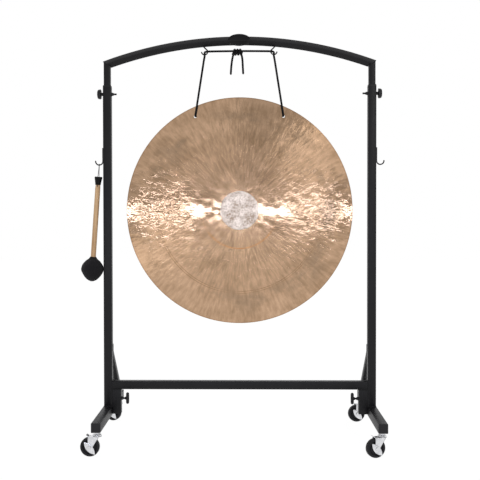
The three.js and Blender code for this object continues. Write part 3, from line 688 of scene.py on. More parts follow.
def oval_plate(name, profile, steps=96):
    """An oval plate. profile is [inset from the outline, y] pairs from front to back."""
    points = []
    faces = []
    for inset, y in profile:
        for i in range(steps):
            turn = 2 * math.pi * i / steps
            x = (badge_half[0] - inset) * math.cos(turn)
            z = (badge_half[1] - inset) * math.sin(turn)
            points.append(place(x, y, badge_z + z))
    for i in range(len(profile) - 1):
        for j in range(steps):
            k = (j + 1) % steps
            faces.append((i * steps + j, (i + 1) * steps + j, (i + 1) * steps + k, i * steps + k))
    faces.append(tuple(range(steps)))
    faces.append(tuple(reversed(range((len(profile) - 1) * steps, len(profile) * steps))))
    return new_mesh(name, points, faces)


dome = [(24, badge_front_y), (18, badge_front_y + 0.05), (10, badge_front_y + 0.25)]
dome += [(3.6, badge_front_y + 0.75), (1.2, badge_front_y + 1.1), (0.3, badge_front_y + 1.7)]
dome += [(0, badge_front_y + 2.6), (0.2, badge_back_y)]
mesh = oval_plate("badge_plate", dome)
dress("badge_plate", mesh, black_enamel, "arch", "badge_enamel", "badge", smooth_below=50)
rim_line = []
for i in range(120):
    turn = 2 * math.pi * i / 120
    rim_line.append(place(
        (badge_half[0] - badge_rim_inset) * math.cos(turn),
        badge_front_y + 0.75,
        badge_z + (badge_half[1] - badge_rim_inset) * math.sin(turn),
    ))
badge_bead = circle(badge_rim_radius / 1000, 8)
mesh = swept("badge_rim", rim_line, lambda share, distance: badge_bead, closed=True)
dress("badge_rim", mesh, black_enamel, "arch", "badge_enamel", smooth_below=round_shading)

# The gong is a 965 mm disc of B20 bronze, 2.5 mm thick and slightly dished towards the back. It
# is hammered all over, then lathed from 84 mm outwards, which leaves fine rings that spread
# every highlight along the radius. The middle is left as it came from the hammer.
gong_radius = 482.5
gong_centre_z = 973
gong_thickness = 2.5
gong_dome = 18
gong_rim_y = 15.6
gong_hole = (187.5, 1374, 6.5)
gong_edge = 0.5
gong_plain_rim = 12
unlathed_radius = 84
gong_rings = 100
gong_spokes = 480
dent_count = 1500
random.seed(7)


def bored(mesh, *cutters):
    """The mesh with the cutters' meshes taken out of it."""
    base = bpy.data.objects.new("base", mesh)
    bpy.context.scene.collection.objects.link(base)
    tools = []
    for cutter in cutters:
        tool = bpy.data.objects.new("tool", cutter)
        bpy.context.scene.collection.objects.link(tool)
        tools.append(tool)
        cut = base.modifiers.new("cut", "BOOLEAN")
        cut.operation = "DIFFERENCE"
        cut.solver = "EXACT"
        cut.object = tool
    graph = bpy.context.evaluated_depsgraph_get()
    result = bpy.data.meshes.new_from_object(base.evaluated_get(graph))
    for thing in [base, *tools]:
        bpy.data.objects.remove(thing)
    return result


def dish(radius):
    return gong_rim_y - gong_dome * (1 - (radius / gong_radius) ** 2)


dents = []
for i in range(dent_count):
    reach = gong_radius * math.sqrt(random.uniform(0.0, 0.97))
    turn = random.uniform(0, 2 * math.pi)
    dents.append((
        reach * math.cos(turn), reach * math.sin(turn),
        random.uniform(9, 17), random.uniform(-0.16, 0.22),
    ))
cells = {}
cell_size = 40
for dent in dents:
    cells.setdefault((dent[0] // cell_size, dent[1] // cell_size), []).append(dent)


def hammered(x, z):
    depth = 0
    for a in (-1, 0, 1):
        for b in (-1, 0, 1):
            for cx, cz, size, deep in cells.get((x // cell_size + a, z // cell_size + b), ()):
                near = ((x - cx) ** 2 + (z - cz) ** 2) / (size * size)
                if near < 6:
                    depth += deep * math.exp(-near)
    return depth


points = [place(0, dish(0), gong_centre_z), place(0, dish(0) + gong_thickness, gong_centre_z)]
front = []
back = []
for i in range(1, gong_rings + 1):
    radius = gong_radius * i / gong_rings
    front_ring = []
    back_ring = []
    edge = gong_edge if i == gong_rings else 0
    for j in range(gong_spokes):
        turn = 2 * math.pi * j / gong_spokes
        x = (radius - edge) * math.cos(turn)
        z = (radius - edge) * math.sin(turn)
        fade = min(1, (gong_radius - radius) / gong_plain_rim)
        deep = hammered(x, z) * fade
        front_ring.append(len(points))
        points.append(place(x, dish(radius) + deep, gong_centre_z + z))
        back_ring.append(len(points))
        points.append(place(x, dish(radius) + gong_thickness + deep, gong_centre_z + z))
    front.append(front_ring)
    back.append(back_ring)
rim_ring = []
for j in range(gong_spokes):
    turn = 2 * math.pi * j / gong_spokes
    rim_ring.append(len(points))
    points.append(place(
        gong_radius * math.cos(turn), dish(gong_radius) + gong_thickness / 2,
        gong_centre_z + gong_radius * math.sin(turn),
    ))
faces = []
for j in range(gong_spokes):
    k = (j + 1) % gong_spokes
    faces.append((0, front[0][k], front[0][j]))
    faces.append((1, back[0][j], back[0][k]))
    for i in range(gong_rings - 1):
        faces.append((front[i][j], front[i][k], front[i + 1][k], front[i + 1][j]))
        faces.append((back[i][k], back[i][j], back[i + 1][j], back[i + 1][k]))
    faces.append((front[-1][j], front[-1][k], rim_ring[k], rim_ring[j]))
    faces.append((rim_ring[j], rim_ring[k], back[-1][k], back[-1][j]))
mesh = new_mesh("gong_disc", points, faces)
drills = []
for sign in (-1, 1):
    start = place(sign * gong_hole[0], -20, gong_hole[1])
    drills.append(turned("drill", [(gong_hole[2], 0), (gong_hole[2], 60)], start, (0, 1, 0), 36))
mesh = bored(mesh, *drills)

# Lathed bronze: warm brown between the highlights. Halfway out, the hammer's strokes show as
# streaks along the radius, 9 by 45 mm and 4 by 18 mm. They lie over dimples of 26 mm and a
# crinkle of 6 mm, and fade out towards the middle. The patina's patches are 140 by 110 mm there.
# The lathe's rings are 0.5 mm apart and too fine to show, so the finish itself stretches its
# highlights along the radius.
lathed_bronze, tree, shader = new_finish(
    "lathed_b20_bronze", Metallic=1.0, Roughness=0.1, Anisotropic=1.0, Anisotropic_Rotation=0.25
)
multiply = {"operation": "MULTIPLY"}
multiply_add = {"operation": "MULTIPLY_ADD"}
smooth_step = {"interpolation_type": "SMOOTHSTEP"}
spot = add_node(tree, "TexCoord").outputs["Object"]
arm = add_node(
    tree, "VectorMath", {"operation": "SUBTRACT"}, _0=spot, _1=tuple(place(0, 0, gong_centre_z))
)
arm = add_node(tree, "VectorMath", multiply, _0=arm.outputs[0], _1=(1, 0, 1))
reach = add_node(tree, "VectorMath", {"operation": "LENGTH"}, _0=arm.outputs[0]).outputs["Value"]
way = add_node(tree, "VectorMath", {"operation": "NORMALIZE"}, _0=arm.outputs[0]).outputs[0]


def stretched(tree, reach, way, round_scale, out_scale):
    """A place to sample noise at, where round_scale sets the change round the gong and
    out_scale, per metre, the change along its radius."""
    round_way = add_node(tree, "VectorMath", {"operation": "SCALE"}, _0=way, Scale=round_scale)
    out_way = add_node(tree, "Math", multiply, _0=reach, _1=out_scale)
    out_way = add_node(tree, "CombineXYZ", _1=out_way.outputs[0])
    return add_node(
        tree, "VectorMath", {"operation": "ADD"}, _0=round_way.outputs[0], _1=out_way.outputs[0]
    ).outputs[0]


def ring_line(tree, reach, radius, width):
    """1 on a ring of that radius, in mm, and 0 away from it."""
    away = add_node(tree, "Math", {"operation": "SUBTRACT"}, _0=reach, _1=radius / 1000)
    away = add_node(tree, "Math", {"operation": "ABSOLUTE"}, _0=away.outputs[0])
    return add_node(
        tree, "MapRange", _0=away.outputs[0], _1=0.0, _2=width / 1000, _3=1.0, _4=0.0
    ).outputs["Result"]


strokes = add_node(
    tree, "TexNoise", Vector=stretched(tree, reach, way, 34.0, 22.0), Scale=1.0, Detail=2.0,
    Roughness=0.55,
)
fine_strokes = add_node(
    tree, "TexNoise", Vector=stretched(tree, reach, way, 80.0, 55.0), Scale=1.0, Detail=2.0,
    Roughness=0.5,
)
patches = add_node(
    tree, "TexNoise", Vector=stretched(tree, reach, way, 2.2, 9.0), Scale=1.0, Detail=4.0,
    Roughness=0.6,
)
dimples = add_node(tree, "TexNoise", Vector=spot, Scale=38.0, Detail=2.0, Roughness=0.5)
tone = add_node(tree, "Math", multiply_add, _0=strokes.outputs["Fac"], _1=0.45, _2=0.02)
tone = add_node(
    tree, "Math", multiply_add, _0=patches.outputs["Fac"], _1=0.5, _2=tone.outputs[0]
)
shade = add_node(tree, "ValToRGB", Fac=tone.outputs[0])
shade.color_ramp.elements[0].position = 0.36
shade.color_ramp.elements[0].color = linear("#a08266")
shade.color_ramp.elements[1].position = 0.62
shade.color_ramp.elements[1].color = linear("#c6a486")
hammer_zone = add_node(
    tree, "MapRange", smooth_step, _0=reach, _1=0.15, _2=0.3, _3=0.12, _4=1.0
)
smooth_rim = add_node(
    tree, "MapRange", smooth_step, _0=reach, _1=0.42, _2=0.465, _3=1.0, _4=0.4
)
worked = add_node(
    tree, "Math", multiply, _0=hammer_zone.outputs["Result"], _1=smooth_rim.outputs["Result"]
)

# Heat and handling have left marks: brown patches in a broad ring, a burnt line round the middle
# and a browner rim. The two dark lines near the edge are painted shade in two of the lathe's
# grooves, and are painted on the lower half only.
heading = add_node(tree, "SeparateXYZ", _0=way)
lower = add_node(tree, "MapRange", _0=heading.outputs["Z"], _1=-0.15, _2=-0.45, _3=0.0, _4=1.0)
broken = add_node(tree, "MapRange", _0=patches.outputs["Fac"], _1=0.4, _2=0.5, _3=0.2, _4=0.9)
broken = add_node(
    tree, "Math", multiply, _0=broken.outputs["Result"], _1=lower.outputs["Result"]
).outputs[0]
stained = add_node(
    tree, "MapRange", _0=patches.outputs["Fac"], _1=0.5, _2=0.36, _3=0.0, _4=0.55
).outputs["Result"]
colour = shade.outputs["Color"]
for radius, width, strength, tint in (
    (390, 75, stained, "#8f7a66"),
    (162, 3, broken, "#c58a45"),
    # Painted shade: the dark lines of two lathe grooves, on the lower half only.
    (346, 1.6, broken, "#7a552f"),
    (354, 1.6, broken, "#7a552f"),
    (482, 4, 0.7, "#8a6033"),
):
    ring = ring_line(tree, reach, radius, width)
    share = add_node(tree, "Math", multiply, _0=ring, _1=strength)
    colour = add_node(
        tree, "Mix", {"data_type": "RGBA"}, Factor=share.outputs[0], _6=colour, _7=linear(tint)
    ).outputs[2]
tree.links.new(colour, shader.inputs["Base Color"])

crinkle = add_node(tree, "TexNoise", Vector=spot, Scale=170.0, Detail=2.0, Roughness=0.6)
bump = None
for pattern, height in (
    (dimples, 0.0011),
    (strokes, 0.00032),
    (fine_strokes, 0.00013),
    (crinkle, 0.00018),
):
    last = bump
    relief = add_node(tree, "Math", multiply, _0=pattern.outputs["Fac"], _1=worked.outputs[0])
    bump = add_node(tree, "Bump", Strength=1.0, Distance=height, Height=relief.outputs[0])
    if last:
        tree.links.new(last.outputs["Normal"], bump.inputs["Normal"])
tree.links.new(bump.outputs["Normal"], shader.inputs["Normal"])
round_gong = add_node(tree, "Tangent", {"direction_type": "RADIAL", "axis": "Y"})
tree.links.new(round_gong.outputs[0], shader.inputs["Tangent"])

# The middle, as hammered: matt, with pits of 6 mm and clouds of 45 mm. Its colour is painted
# paler than the lathed bronze: painted light for the light it scatters every way.
hammered_bronze, tree, shader = new_finish("hammered_b20_bronze", Metallic=1.0, Roughness=0.34)
spot = add_node(tree, "TexCoord").outputs["Object"]
pits = add_node(tree, "TexNoise", Vector=spot, Scale=160.0, Detail=3.0, Roughness=0.6)
cloud = add_node(tree, "TexNoise", Vector=spot, Scale=22.0, Detail=3.0, Roughness=0.6)
mottle = add_node(tree, "Math", multiply_add, _0=pits.outputs["Fac"], _1=0.45, _2=0.0)
mottle = add_node(
    tree, "Math", multiply_add, _0=cloud.outputs["Fac"], _1=0.55, _2=mottle.outputs[0]
)
# Painted light: the paler colours stand in for the light that the hammered middle scatters.
patterned(tree, shader, mottle.outputs[0], ("#a08a79", "#efe2d8"), ramp=(0.38, 0.6))
bump = add_node(tree, "Bump", Strength=0.45, Distance=0.002, Height=pits.outputs["Fac"])
bump = add_node(
    tree, "Bump", Strength=0.4, Distance=0.006, Height=cloud.outputs["Fac"], Normal=bump.outputs[0]
)
tree.links.new(bump.outputs["Normal"], shader.inputs["Normal"])

gong = dress("gong_disc", mesh, lathed_bronze, "hung_gong", "gong_bronze", "gong", smooth_below=50)
gong.data.materials.append(hammered_bronze)
middle = place(0, 0, gong_centre_z)
for face in gong.data.polygons:
    arm = face.center - middle
    if math.hypot(arm.x, arm.z) * 1000 < unlathed_radius:
        face.material_index = 1

# A hook of the same wire stands on the outer face of each upright, for a mallet. Its straight
# stem is welded to the tube and its crook opens outwards and upwards.
stem_x = 582.05
stem_top_z = 1240
bend_z = 1183
bend_radius = 15.5
seam_x = 579.6
seam_half = 2.6
for side, sign in sides:
    stem = [place(sign * stem_x, 0, z) for z in (stem_top_z, 1225, 1200)]
    bend = crook(stem_x + bend_radius, bend_z, bend_radius, 180, 360, sign)
    tip = [place(sign * (stem_x + 2 * bend_radius), 0, bend_z + 3)]
    wire_line = smooth_line([*stem, *bend, *tip], wire_step / 1000)
    mesh = swept(f"mallet_hook_{side}_wire", wire_line, wire_section(wire_radius, 0.02))
    dress(
        f"mallet_hook_{side}_wire", mesh, powder_coat, "frame", "hook_zinc",
        f"mallet_hook_{side}", smooth_below=round_shading,
    )
    seam = [(sign * seam_x, -seam_half, 1239), (sign * seam_x, -seam_half, 1212)]
    seam += [(sign * seam_x, seam_half, 1212), (sign * seam_x, seam_half, 1239)]
    bead(f"weld_mallet_hook_{side}", seam, "frame", wire_weld)

# The mallet hangs by a thin cord loop and leans in until its head touches the upright. Every
# place on it is measured down its own axis from the point where it hangs.
mallet_lean = math.radians(3.987)
hang_x = -597.55
hang_z = 1167.5
mallet_up = Vector((math.sin(mallet_lean), 0, math.cos(mallet_lean)))


def on_mallet(across, y, down):
    return place(
        hang_x + across * math.cos(mallet_lean) - down * math.sin(mallet_lean),
        y,
        hang_z - across * math.sin(mallet_lean) - down * math.cos(mallet_lean),
    )


# The loop is a black 2.4 mm cord of the same polyester. It lies over the hook, runs down both
# sides of the grip under its skirt, and goes through the hole in the handle.
loop_cord_radius = 1.2
loop_cord_lay = 8
loop_cord_step = 0.8
loop_hole_down = 93.3
strand_y = 4.25
strands = [(-10.8, loop_hole_down), (-12.4, 90), (-16.6, 82), (-18.4, 66), (-18.3, 54)]
strands += [(-12, 40), (-6, 20), (-strand_y, 3)]
over = []
for i in range(1, 8):
    turn = math.pi * i / 8
    over.append((-strand_y * math.cos(turn), -strand_y * math.sin(turn)))
line = [on_mallet(0, y, down) for y, down in strands]
line += [on_mallet(0, y, down) for y, down in over]
line += [on_mallet(0, -y, down) for y, down in reversed(strands)]
mallet_line = smooth_line(line, loop_cord_step / 1000)
thin = loop_cord_radius / 1000
mesh = swept("mallet_cord", mallet_line, rope_section(thin, loop_cord_lay / 1000))
mallet_cord = dress(
    "mallet_cord", mesh, black_polyester, None, "cord", "mallet_loop", smooth_below=round_shading
)
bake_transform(mallet_cord)

# The grip is a cap moulded in soft black rubber and pushed over the end of the handle. It narrows
# down to a thin skirt, and is matt with the faint bloom of such rubber, in specks of 4 mm.
soft_rubber, tree, shader = new_finish("black_moulded_rubber", IOR=1.52, Specular_IOR_Level=0.2)
spot = add_node(tree, "TexCoord").outputs["Object"]
bloom = add_node(tree, "TexNoise", Vector=spot, Scale=260.0, Detail=4.0, Roughness=0.65)
patterned(
    tree, shader, bloom.outputs["Fac"], ("#030304", "#09080a"), dull=(0.5, 0.68),
    relief=(0.4, 0.0003),
)
grip = [(0, 50.2), (9, 50), (13.5, 50), (15.2, 50.5), (16.2, 51.8), (16.5, 53.5)]
grip += [(16.3, 56), (15.6, 60), (14.2, 67), (13, 74), (12.2, 80), (11.8, 83), (11.7, 84.4)]
grip += [(11.2, 85), (10.9, 84.6), (8.4, 84.2), (8.3, 59.7), (0, 59.7)]
mesh = turned("grip_cap", grip, on_mallet(0, 0, 0), -mallet_up, 64)
dress("grip_cap", mesh, soft_rubber, "mallet", "grip_rubber", "mallet_grip")

# The handle is a turned ash rod, sanded and oiled, with a drilled hole for the loop just under
# the grip. Its grain runs straight down it: pores of 2.4 by 53 mm, which are coarser than life
# so that they show, in bands of 9 by 200 mm.
oiled_ash, tree, shader = new_finish("oiled_ash", Coat_Weight=0.08, IOR=1.48)
spot = add_node(tree, "TexCoord").outputs["Object"]
long_way = add_node(tree, "Mapping", Vector=spot, Scale=(1.0, 1.0, 0.045))
grain = add_node(
    tree, "TexNoise", Vector=long_way.outputs[0], Scale=420.0, Detail=4.0, Roughness=0.6
)
bands = add_node(tree, "TexNoise", Vector=long_way.outputs[0], Scale=110.0, Detail=2.0)
both = add_node(
    tree, "Math", {"operation": "ADD"}, _0=grain.outputs["Fac"], _1=bands.outputs["Fac"]
)
both = add_node(tree, "Math", multiply, _0=both.outputs[0], _1=0.5)
patterned(tree, shader, both.outputs[0], ("#bb8d61", "#efc798"), ramp=(0.35, 0.62))
patterned(tree, shader, grain.outputs["Fac"], dull=(0.45, 0.6), relief=(0.3, 0.0003))
rod = [(0, 60.2), (7.6, 60.2), (8, 60.8), (8, 85.3), (9.6, 85.3), (10, 85.7), (10.4, 92)]
rod += [(11, 100), (11, 391), (10.6, 392.3), (6.7, 392.3), (6.7, 437), (0, 437)]
mesh = turned("handle_rod", rod, on_mallet(0, 0, 0), -mallet_up, 64)
drill_top = on_mallet(0, -20, loop_hole_down)
drill = turned("drill", [(2, 0), (2, 40)], drill_top, (0, 1, 0), 24)
dress("handle_rod", bored(mesh, drill), oiled_ash, "mallet", "handle_wood", "mallet_handle")

# The head is synthetic fleece over a felt core, gathered at the neck and pulled tight below, so
# it is full in the middle, hollow at the shoulder and faintly pleated at both ends. Its tufts
# are 3 mm wide and swallow the light.
head_middle = 445.1
pleat_start = 22
pleat_count = 17
pleat_depth = 0.7
lump_depth = 0.9
tuft_depth = 0.4
head_outline = [(13.5, -52.5), (14.6, -50), (17.5, -46), (23, -41), (30, -36), (38, -27)]
head_outline += [(44, -18), (47.6, -9), (49, 0), (47.4, 9.5), (43, 18), (37, 28), (29.5, 37)]
head_outline += [(20, 45.6), (9, 51), (3, 52.4)]
black_fleece, tree, shader = new_finish("black_fleece", Roughness=0.95, Sheen_Weight=0.15)
shader.inputs["Sheen Roughness"].default_value = 0.5
shader.inputs["Sheen Tint"].default_value = linear("#6b6870")
spot = add_node(tree, "TexCoord").outputs["Object"]
tuft = add_node(tree, "TexNoise", Vector=spot, Scale=330.0, Detail=4.0, Roughness=0.7)
patterned(tree, shader, tuft.outputs["Fac"], ("#040305", "#0e0c11"), relief=(0.8, 0.0012))
outline = smooth_line([Vector((r, 0, d)) for r, d in head_outline], 0.9)
head_profile = [(p.x, head_middle + p.z) for p in outline]
mesh = turned("head_fleece", head_profile, on_mallet(0, 0, 0), -mallet_up, 128)
head_centre = on_mallet(0, 0, head_middle)
for vertex in mesh.vertices:
    arm = vertex.co - head_centre
    down = -arm.dot(mallet_up) * 1000
    flat = arm + mallet_up * down / 1000
    radius = flat.length
    if radius < 0.004:
        continue
    angle = math.atan2(flat.y, flat.x)
    gather = max(0, abs(down) - pleat_start) / 30
    pleat = pleat_depth * gather * math.sin(pleat_count * angle + 1.3 * math.sin(3 * angle))
    lump = noise.noise(vertex.co * 60) * lump_depth + noise.noise(vertex.co * 420) * tuft_depth
    vertex.co += flat.normalized() * (pleat + lump - lump_depth) / 1000
head = dress(
    "head_fleece", mesh, black_fleece, "mallet", "fleece", "mallet_head",
    smooth_below=round_shading,
)

# Four swivel casters with total brakes. Each has a threaded stem with its ball race under the
# foot, a pressed fork, a rubber-tyred wheel on an M8 bolt and a brake pedal at the back.
caster_places = {
    "front_left": (-563, -313, 179),
    "front_right": (563, -313, -165),
    "rear_right": (563, 337, -168),
    "rear_left": (-563, 337, 163),
}
caster_trail = 28
wheel_centre_z = 38.5
fork_outside = 17
axle_radius = 4
leaf_thickness = 1.2
leaf_edge = 0.5
pedal_rib_radius = 0.5
pedal_rib_start = (34.5, 82.55)
pedal_rib_pitch = (2.4, 1.77)


def on_caster(caster, trail, across, z):
    """A place on a caster: along its trail from the swivel axis, across it, and up."""
    x, y, degrees = caster
    turn = math.radians(degrees)
    return place(
        x + trail * math.cos(turn) - across * math.sin(turn),
        y + trail * math.sin(turn) + across * math.cos(turn),
        z,
    )


def pressed(name, caster, outline, inner, outer, rounding):
    """A plate cut to an outline of [trail, z] pairs, with its outer face's edge rounded."""
    middle_s = sum(s for s, z in outline) / len(outline)
    middle_z = sum(z for s, z in outline) / len(outline)
    away = 1 if outer > inner else -1
    layers = [(inner, 0), (outer - away * rounding, 0)]
    layers += [(outer - away * rounding * 0.3, rounding * 0.3), (outer, rounding)]
    points = []
    for across, inset in layers:
        for s, z in outline:
            reach = math.hypot(s - middle_s, z - middle_z)
            share = 1 - inset / reach
            points.append(on_caster(
                caster, middle_s + (s - middle_s) * share, across,
                middle_z + (z - middle_z) * share,
            ))
    count = len(outline)
    faces = []
    for i in range(len(layers) - 1):
        for j in range(count):
            k = (j + 1) % count
            faces.append((i * count + j, i * count + k, (i + 1) * count + k, (i + 1) * count + j))
    faces.append(tuple(reversed(range(count))))
    faces.append(tuple(range((len(layers) - 1) * count, len(layers) * count)))
    mesh = new_mesh(name, points, faces)
    shape = bmesh.new()
    shape.from_mesh(mesh)
    bmesh.ops.recalc_face_normals(shape, faces=shape.faces)
    shape.to_mesh(mesh)
    shape.free()
    return mesh


# Bright zinc plate over pressed steel: nearly a mirror, clouded a little every 11 mm by the
# plating bath.
bright_zinc, tree, shader = new_finish("bright_zinc_plate", Metallic=1.0)
spot = add_node(tree, "TexCoord").outputs["Object"]
bath = add_node(tree, "TexNoise", Vector=spot, Scale=90.0, Detail=3.0, Roughness=0.55)
patterned(
    tree, shader, bath.outputs["Fac"], ("#c9cacd", "#e6e6e8"), ramp=(0.3, 0.7),
    dull=(0.12, 0.24), relief=(0.3, 0.0006),
)

# The tyre is black rubber bonded to a black nylon centre, moulded smooth and dulled by the dust
# of the floor in specks of 6 mm.
tyre_rubber, tree, shader = new_finish("black_tyre_rubber", IOR=1.52, Specular_IOR_Level=0.25)
spot = add_node(tree, "TexCoord").outputs["Object"]
dust = add_node(tree, "TexNoise", Vector=spot, Scale=180.0, Detail=4.0, Roughness=0.65)
patterned(
    tree, shader, dust.outputs["Fac"], ("#100f12", "#252428"), ramp=(0.35, 0.75),
    dull=(0.45, 0.65), relief=(0.35, 0.0003),
)

race = [(0, 81.1), (14, 81.1), (16.5, 81.4), (17.6, 82.2), (18, 83.4), (18, 85.2), (17.7, 86.2)]
race += [(16.6, 87.2), (15, 87.6), (14.4, 86.9), (12.6, 86.9), (12, 88), (9.9, 88), (9.9, 89.6)]
race += [(8.4, 89.7), (8.4, 90.6), (5, 90.6), (5, 126), (0, 126)]
nut = [(5, 90.4), (8.6, 90.4), (9.9, 91.2), (9.9, 98.9), (8.6, 99.8), (5, 99.8)]
half_tyre = [(4.6, 13.2), (8.2, 13.2), (9, 12.6), (9, 10.8), (9.8, 10), (23.6, 9.2), (24.4, 8.4)]
half_tyre += [(25.2, 8.4), (26, 9.4), (27, 11.2), (28.4, 11.9), (29.2, 12.5), (30, 11.9)]
half_tyre += [(32.8, 12.1), (35.2, 11.6), (37.2, 10.2), (38.2, 8), (38.5, 5), (38.5, 1.5)]
tyre = [(radius, -across) for radius, across in half_tyre] + list(reversed(half_tyre))
washer = [(4, 17.05), (6.8, 17.05), (7, 17.3), (6.8, 18.4), (4, 18.4)]
hexagon = [(4, 18.3), (6.1, 18.3), (6.5, 18.7), (6.5, 21.7), (5.6, 22.3), (4, 22.3)]
rib_ring = circle(pedal_rib_radius / 1000, 8)

# A leaf-shaped plate, pressed from thin steel, is clamped to each side of the fork by the wheel's
# bolt. Its two long edges are bowed, and its hole clears the washer.
leaf_high = (caster_trail + 21, wheel_centre_z + 21)
leaf_low = (caster_trail - 22, wheel_centre_z - 28)
leaf_bulge = 27
leaf = []
leaf_long = math.dist(leaf_high, leaf_low)
bulge_s = leaf_bulge * (leaf_high[1] - leaf_low[1]) / leaf_long
bulge_z = leaf_bulge * (leaf_high[0] - leaf_low[0]) / leaf_long
for sign, start, end in ((1, leaf_low, leaf_high), (-1, leaf_high, leaf_low)):
    bend = (
        (leaf_high[0] + leaf_low[0]) / 2 + sign * bulge_s,
        (leaf_high[1] + leaf_low[1]) / 2 - sign * bulge_z,
    )
    for i in range(14):
        t = i / 14
        leaf.append(tuple(
            (1 - t) ** 2 * a + 2 * t * (1 - t) * b + t * t * c
            for a, b, c in zip(start, bend, end)
        ))

for name, caster in caster_places.items():
    axis = on_caster(caster, 0, 0, 0)
    axle = on_caster(caster, caster_trail, 0, wheel_centre_z)
    way = (on_caster(caster, 0, 1000, 0) - axis).normalized()
    mesh = turned(f"race_{name}", race, axis, (0, 0, 1), 64)
    dress(f"race_{name}", mesh, bright_zinc, "frame", "caster_zinc", f"caster_stem_{name}")
    mesh = turned(f"stem_nut_{name}", nut, axis, (0, 0, 1), 6)
    dress(f"stem_nut_{name}", mesh, bright_zinc, "frame", "caster_zinc", smooth_below=20)

    fork = f"fork_{name}"
    mesh = refined(f"fork_plates_{name}", f"caster_fork_{name}", 0.5)
    dress(f"fork_plates_{name}", mesh, bright_zinc, fork, "caster_zinc", f"caster_fork_{name}")
    shank = [(axle_radius, -fork_outside), (axle_radius, fork_outside)]
    mesh = turned(f"axle_bolt_{name}", shank, axle, way, 32)
    dress(f"axle_bolt_{name}", mesh, bright_zinc, fork, "caster_zinc", f"caster_axle_{name}")
    for side, sign in (("head", -1), ("nut", 1)):
        face = fork_outside * sign
        outside = face + leaf_thickness * sign
        mesh = pressed(f"leaf_{side}_{name}", caster, leaf, face, outside, leaf_edge)
        drill = turned("drill", [(7.2, 14), (7.2, 22)], axle, way * sign, 32)
        mesh = bored(mesh, drill)
        dress(f"leaf_{side}_{name}", mesh, bright_zinc, fork, "caster_zinc")
        mesh = turned(f"washer_{side}_{name}", washer, axle, way * sign, 32)
        dress(f"washer_{side}_{name}", mesh, bright_zinc, fork, "caster_zinc")
        mesh = turned(f"hexagon_{side}_{name}", hexagon, axle, way * sign, 6)
        dress(f"hexagon_{side}_{name}", mesh, bright_zinc, fork, "caster_zinc", smooth_below=20)

    mesh = turned(f"tyre_{name}", tyre, axle, way, 96)
    dress(
        f"tyre_{name}", mesh, tyre_rubber, f"wheel_{name}", "wheel_rubber",
        f"caster_wheel_{name}",
    )

    pedal = f"pedal_{name}"
    mesh = refined(f"pedal_plate_{name}", f"caster_pedal_{name}", 0.6)
    dress(
        f"pedal_plate_{name}", mesh, bright_zinc, pedal, "caster_zinc", f"caster_pedal_{name}"
    )
    for i in range(3):
        trail, z = (start + pitch * i for start, pitch in zip(pedal_rib_start, pedal_rib_pitch))
        rib = [on_caster(caster, trail, across, z) for across in (-10, 0, 10)]
        rib_line = smooth_line(rib, 0.002)
        mesh = swept(f"pedal_rib_{i}_{name}", rib_line, lambda share, distance: rib_ring)
        dress(f"pedal_rib_{i}_{name}", mesh, bright_zinc, pedal, "caster_zinc")

# The studio: a white floor and a white room. The floor takes a soft shadow, and shows as almost
# plain white to the camera and in every polished surface.
room_white = linear("#ffffff")
floor_size = 30
floor_drop = 0.0005
white_paint = bpy.data.materials.new("white_floor_paint")
white_paint.use_nodes = True
tree = white_paint.node_tree
tree.nodes.clear()
matt = add_node(tree, "BsdfDiffuse", Color=linear("#e9e9e9"))
bright = add_node(tree, "Emission", Color=room_white, Strength=1.09)
path = add_node(tree, "LightPath")
larger = {"operation": "MAXIMUM"}
seen = add_node(
    tree, "Math", larger, _0=path.outputs["Is Camera Ray"], _1=path.outputs["Is Glossy Ray"]
)
seen = add_node(
    tree, "Math", larger, _0=seen.outputs[0], _1=path.outputs["Is Transmission Ray"]
)
share = add_node(tree, "Math", multiply, _0=seen.outputs[0], _1=0.88)
both = add_node(tree, "MixShader", _0=share.outputs[0], _1=matt.outputs[0], _2=bright.outputs[0])
add_node(tree, "OutputMaterial", Surface=both.outputs[0])
bpy.ops.mesh.primitive_plane_add(size=floor_size, location=(0, 0, -floor_drop))
floor = bpy.context.object
floor.name = "floor"
floor.data.materials.append(white_paint)

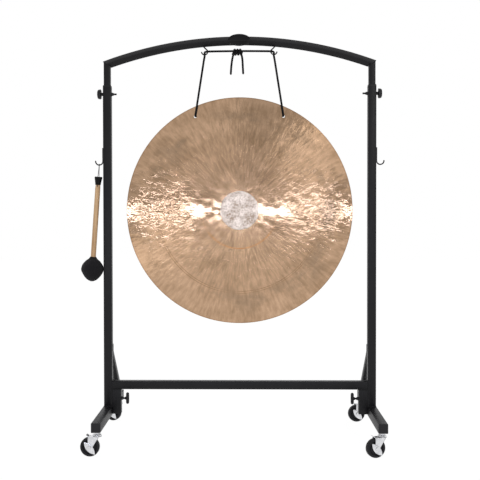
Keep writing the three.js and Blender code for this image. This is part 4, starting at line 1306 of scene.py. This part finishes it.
# The room is white to the camera. It lights the stand at a little over half that, and mirrors
# in it as white behind the stand and greyer in front, so that the metal keeps some contrast.
world = bpy.data.worlds.new("white_room")
bpy.context.scene.world = world
world.use_nodes = True
tree = world.node_tree
tree.nodes.clear()
path = add_node(tree, "LightPath")
way = add_node(tree, "TexCoord").outputs["Generated"]
front = add_node(tree, "SeparateXYZ", _0=way)
mirrored = add_node(tree, "MapRange", _0=front.outputs["Y"], _1=-0.55, _2=0.25, _3=0.65, _4=1.0)
level = add_node(tree, "Mix", {"data_type": "FLOAT"}, Factor=path.outputs["Is Glossy Ray"], _2=0.55)
tree.links.new(mirrored.outputs["Result"], level.inputs[3])
shown = add_node(tree, "Mix", {"data_type": "FLOAT"}, Factor=path.outputs["Is Camera Ray"], _3=1.0)
tree.links.new(level.outputs[0], shown.inputs[2])
sky = add_node(tree, "Background", Color=room_white, Strength=shown.outputs[0])
add_node(tree, "OutputWorld", Surface=sky.outputs[0])


# Five area lamps stand 4.2 m in front of the stand. A thin cool strip at the height of the gong's
# middle draws the bright band across it. Three large weak ones lighten the bronze above and below
# that band, and the key lights the whole from above on the right.
lamp_y = -4.2


def lamp(name, where, target, width, height, watts, roll=0, colour="#ffffff"):
    data = bpy.data.lights.new(name, "AREA")
    data.shape = "RECTANGLE"
    data.size = width
    data.size_y = height
    data.energy = watts
    data.color = linear(colour)[:3]
    light = bpy.data.objects.new(name, data)
    bpy.context.scene.collection.objects.link(light)
    light.location = where
    light.rotation_mode = "QUATERNION"
    facing = (Vector(target) - Vector(where)).to_track_quat("-Z", "Y")
    light.rotation_quaternion = facing @ Euler((0, 0, math.radians(roll))).to_quaternion()
    light.visible_camera = False


lamp("strip", (0, lamp_y, 0.97), (0, 0, 0.97), 4.4, 0.05, 14, 0, "#dde7ff")
lamp("upper_left_box", (-0.95, lamp_y, 2.15), (-0.95, 0, 2.15), 1.9, 1.5, 2.2)
lamp("upper_right_box", (1.25, lamp_y, 1.8), (1.25, 0, 1.8), 1.5, 0.9, 2.4, 33)
lamp("lower_left_box", (-1.3, lamp_y, 0.4), (-1.3, 0, 0.4), 1.2, 0.5, 1.0, 28)
lamp("key", (2.0, lamp_y, 3.2), (0.0, 0, 1.0), 1.4, 1.4, 26)

bpy.context.scene.view_settings.view_transform = "Standard"
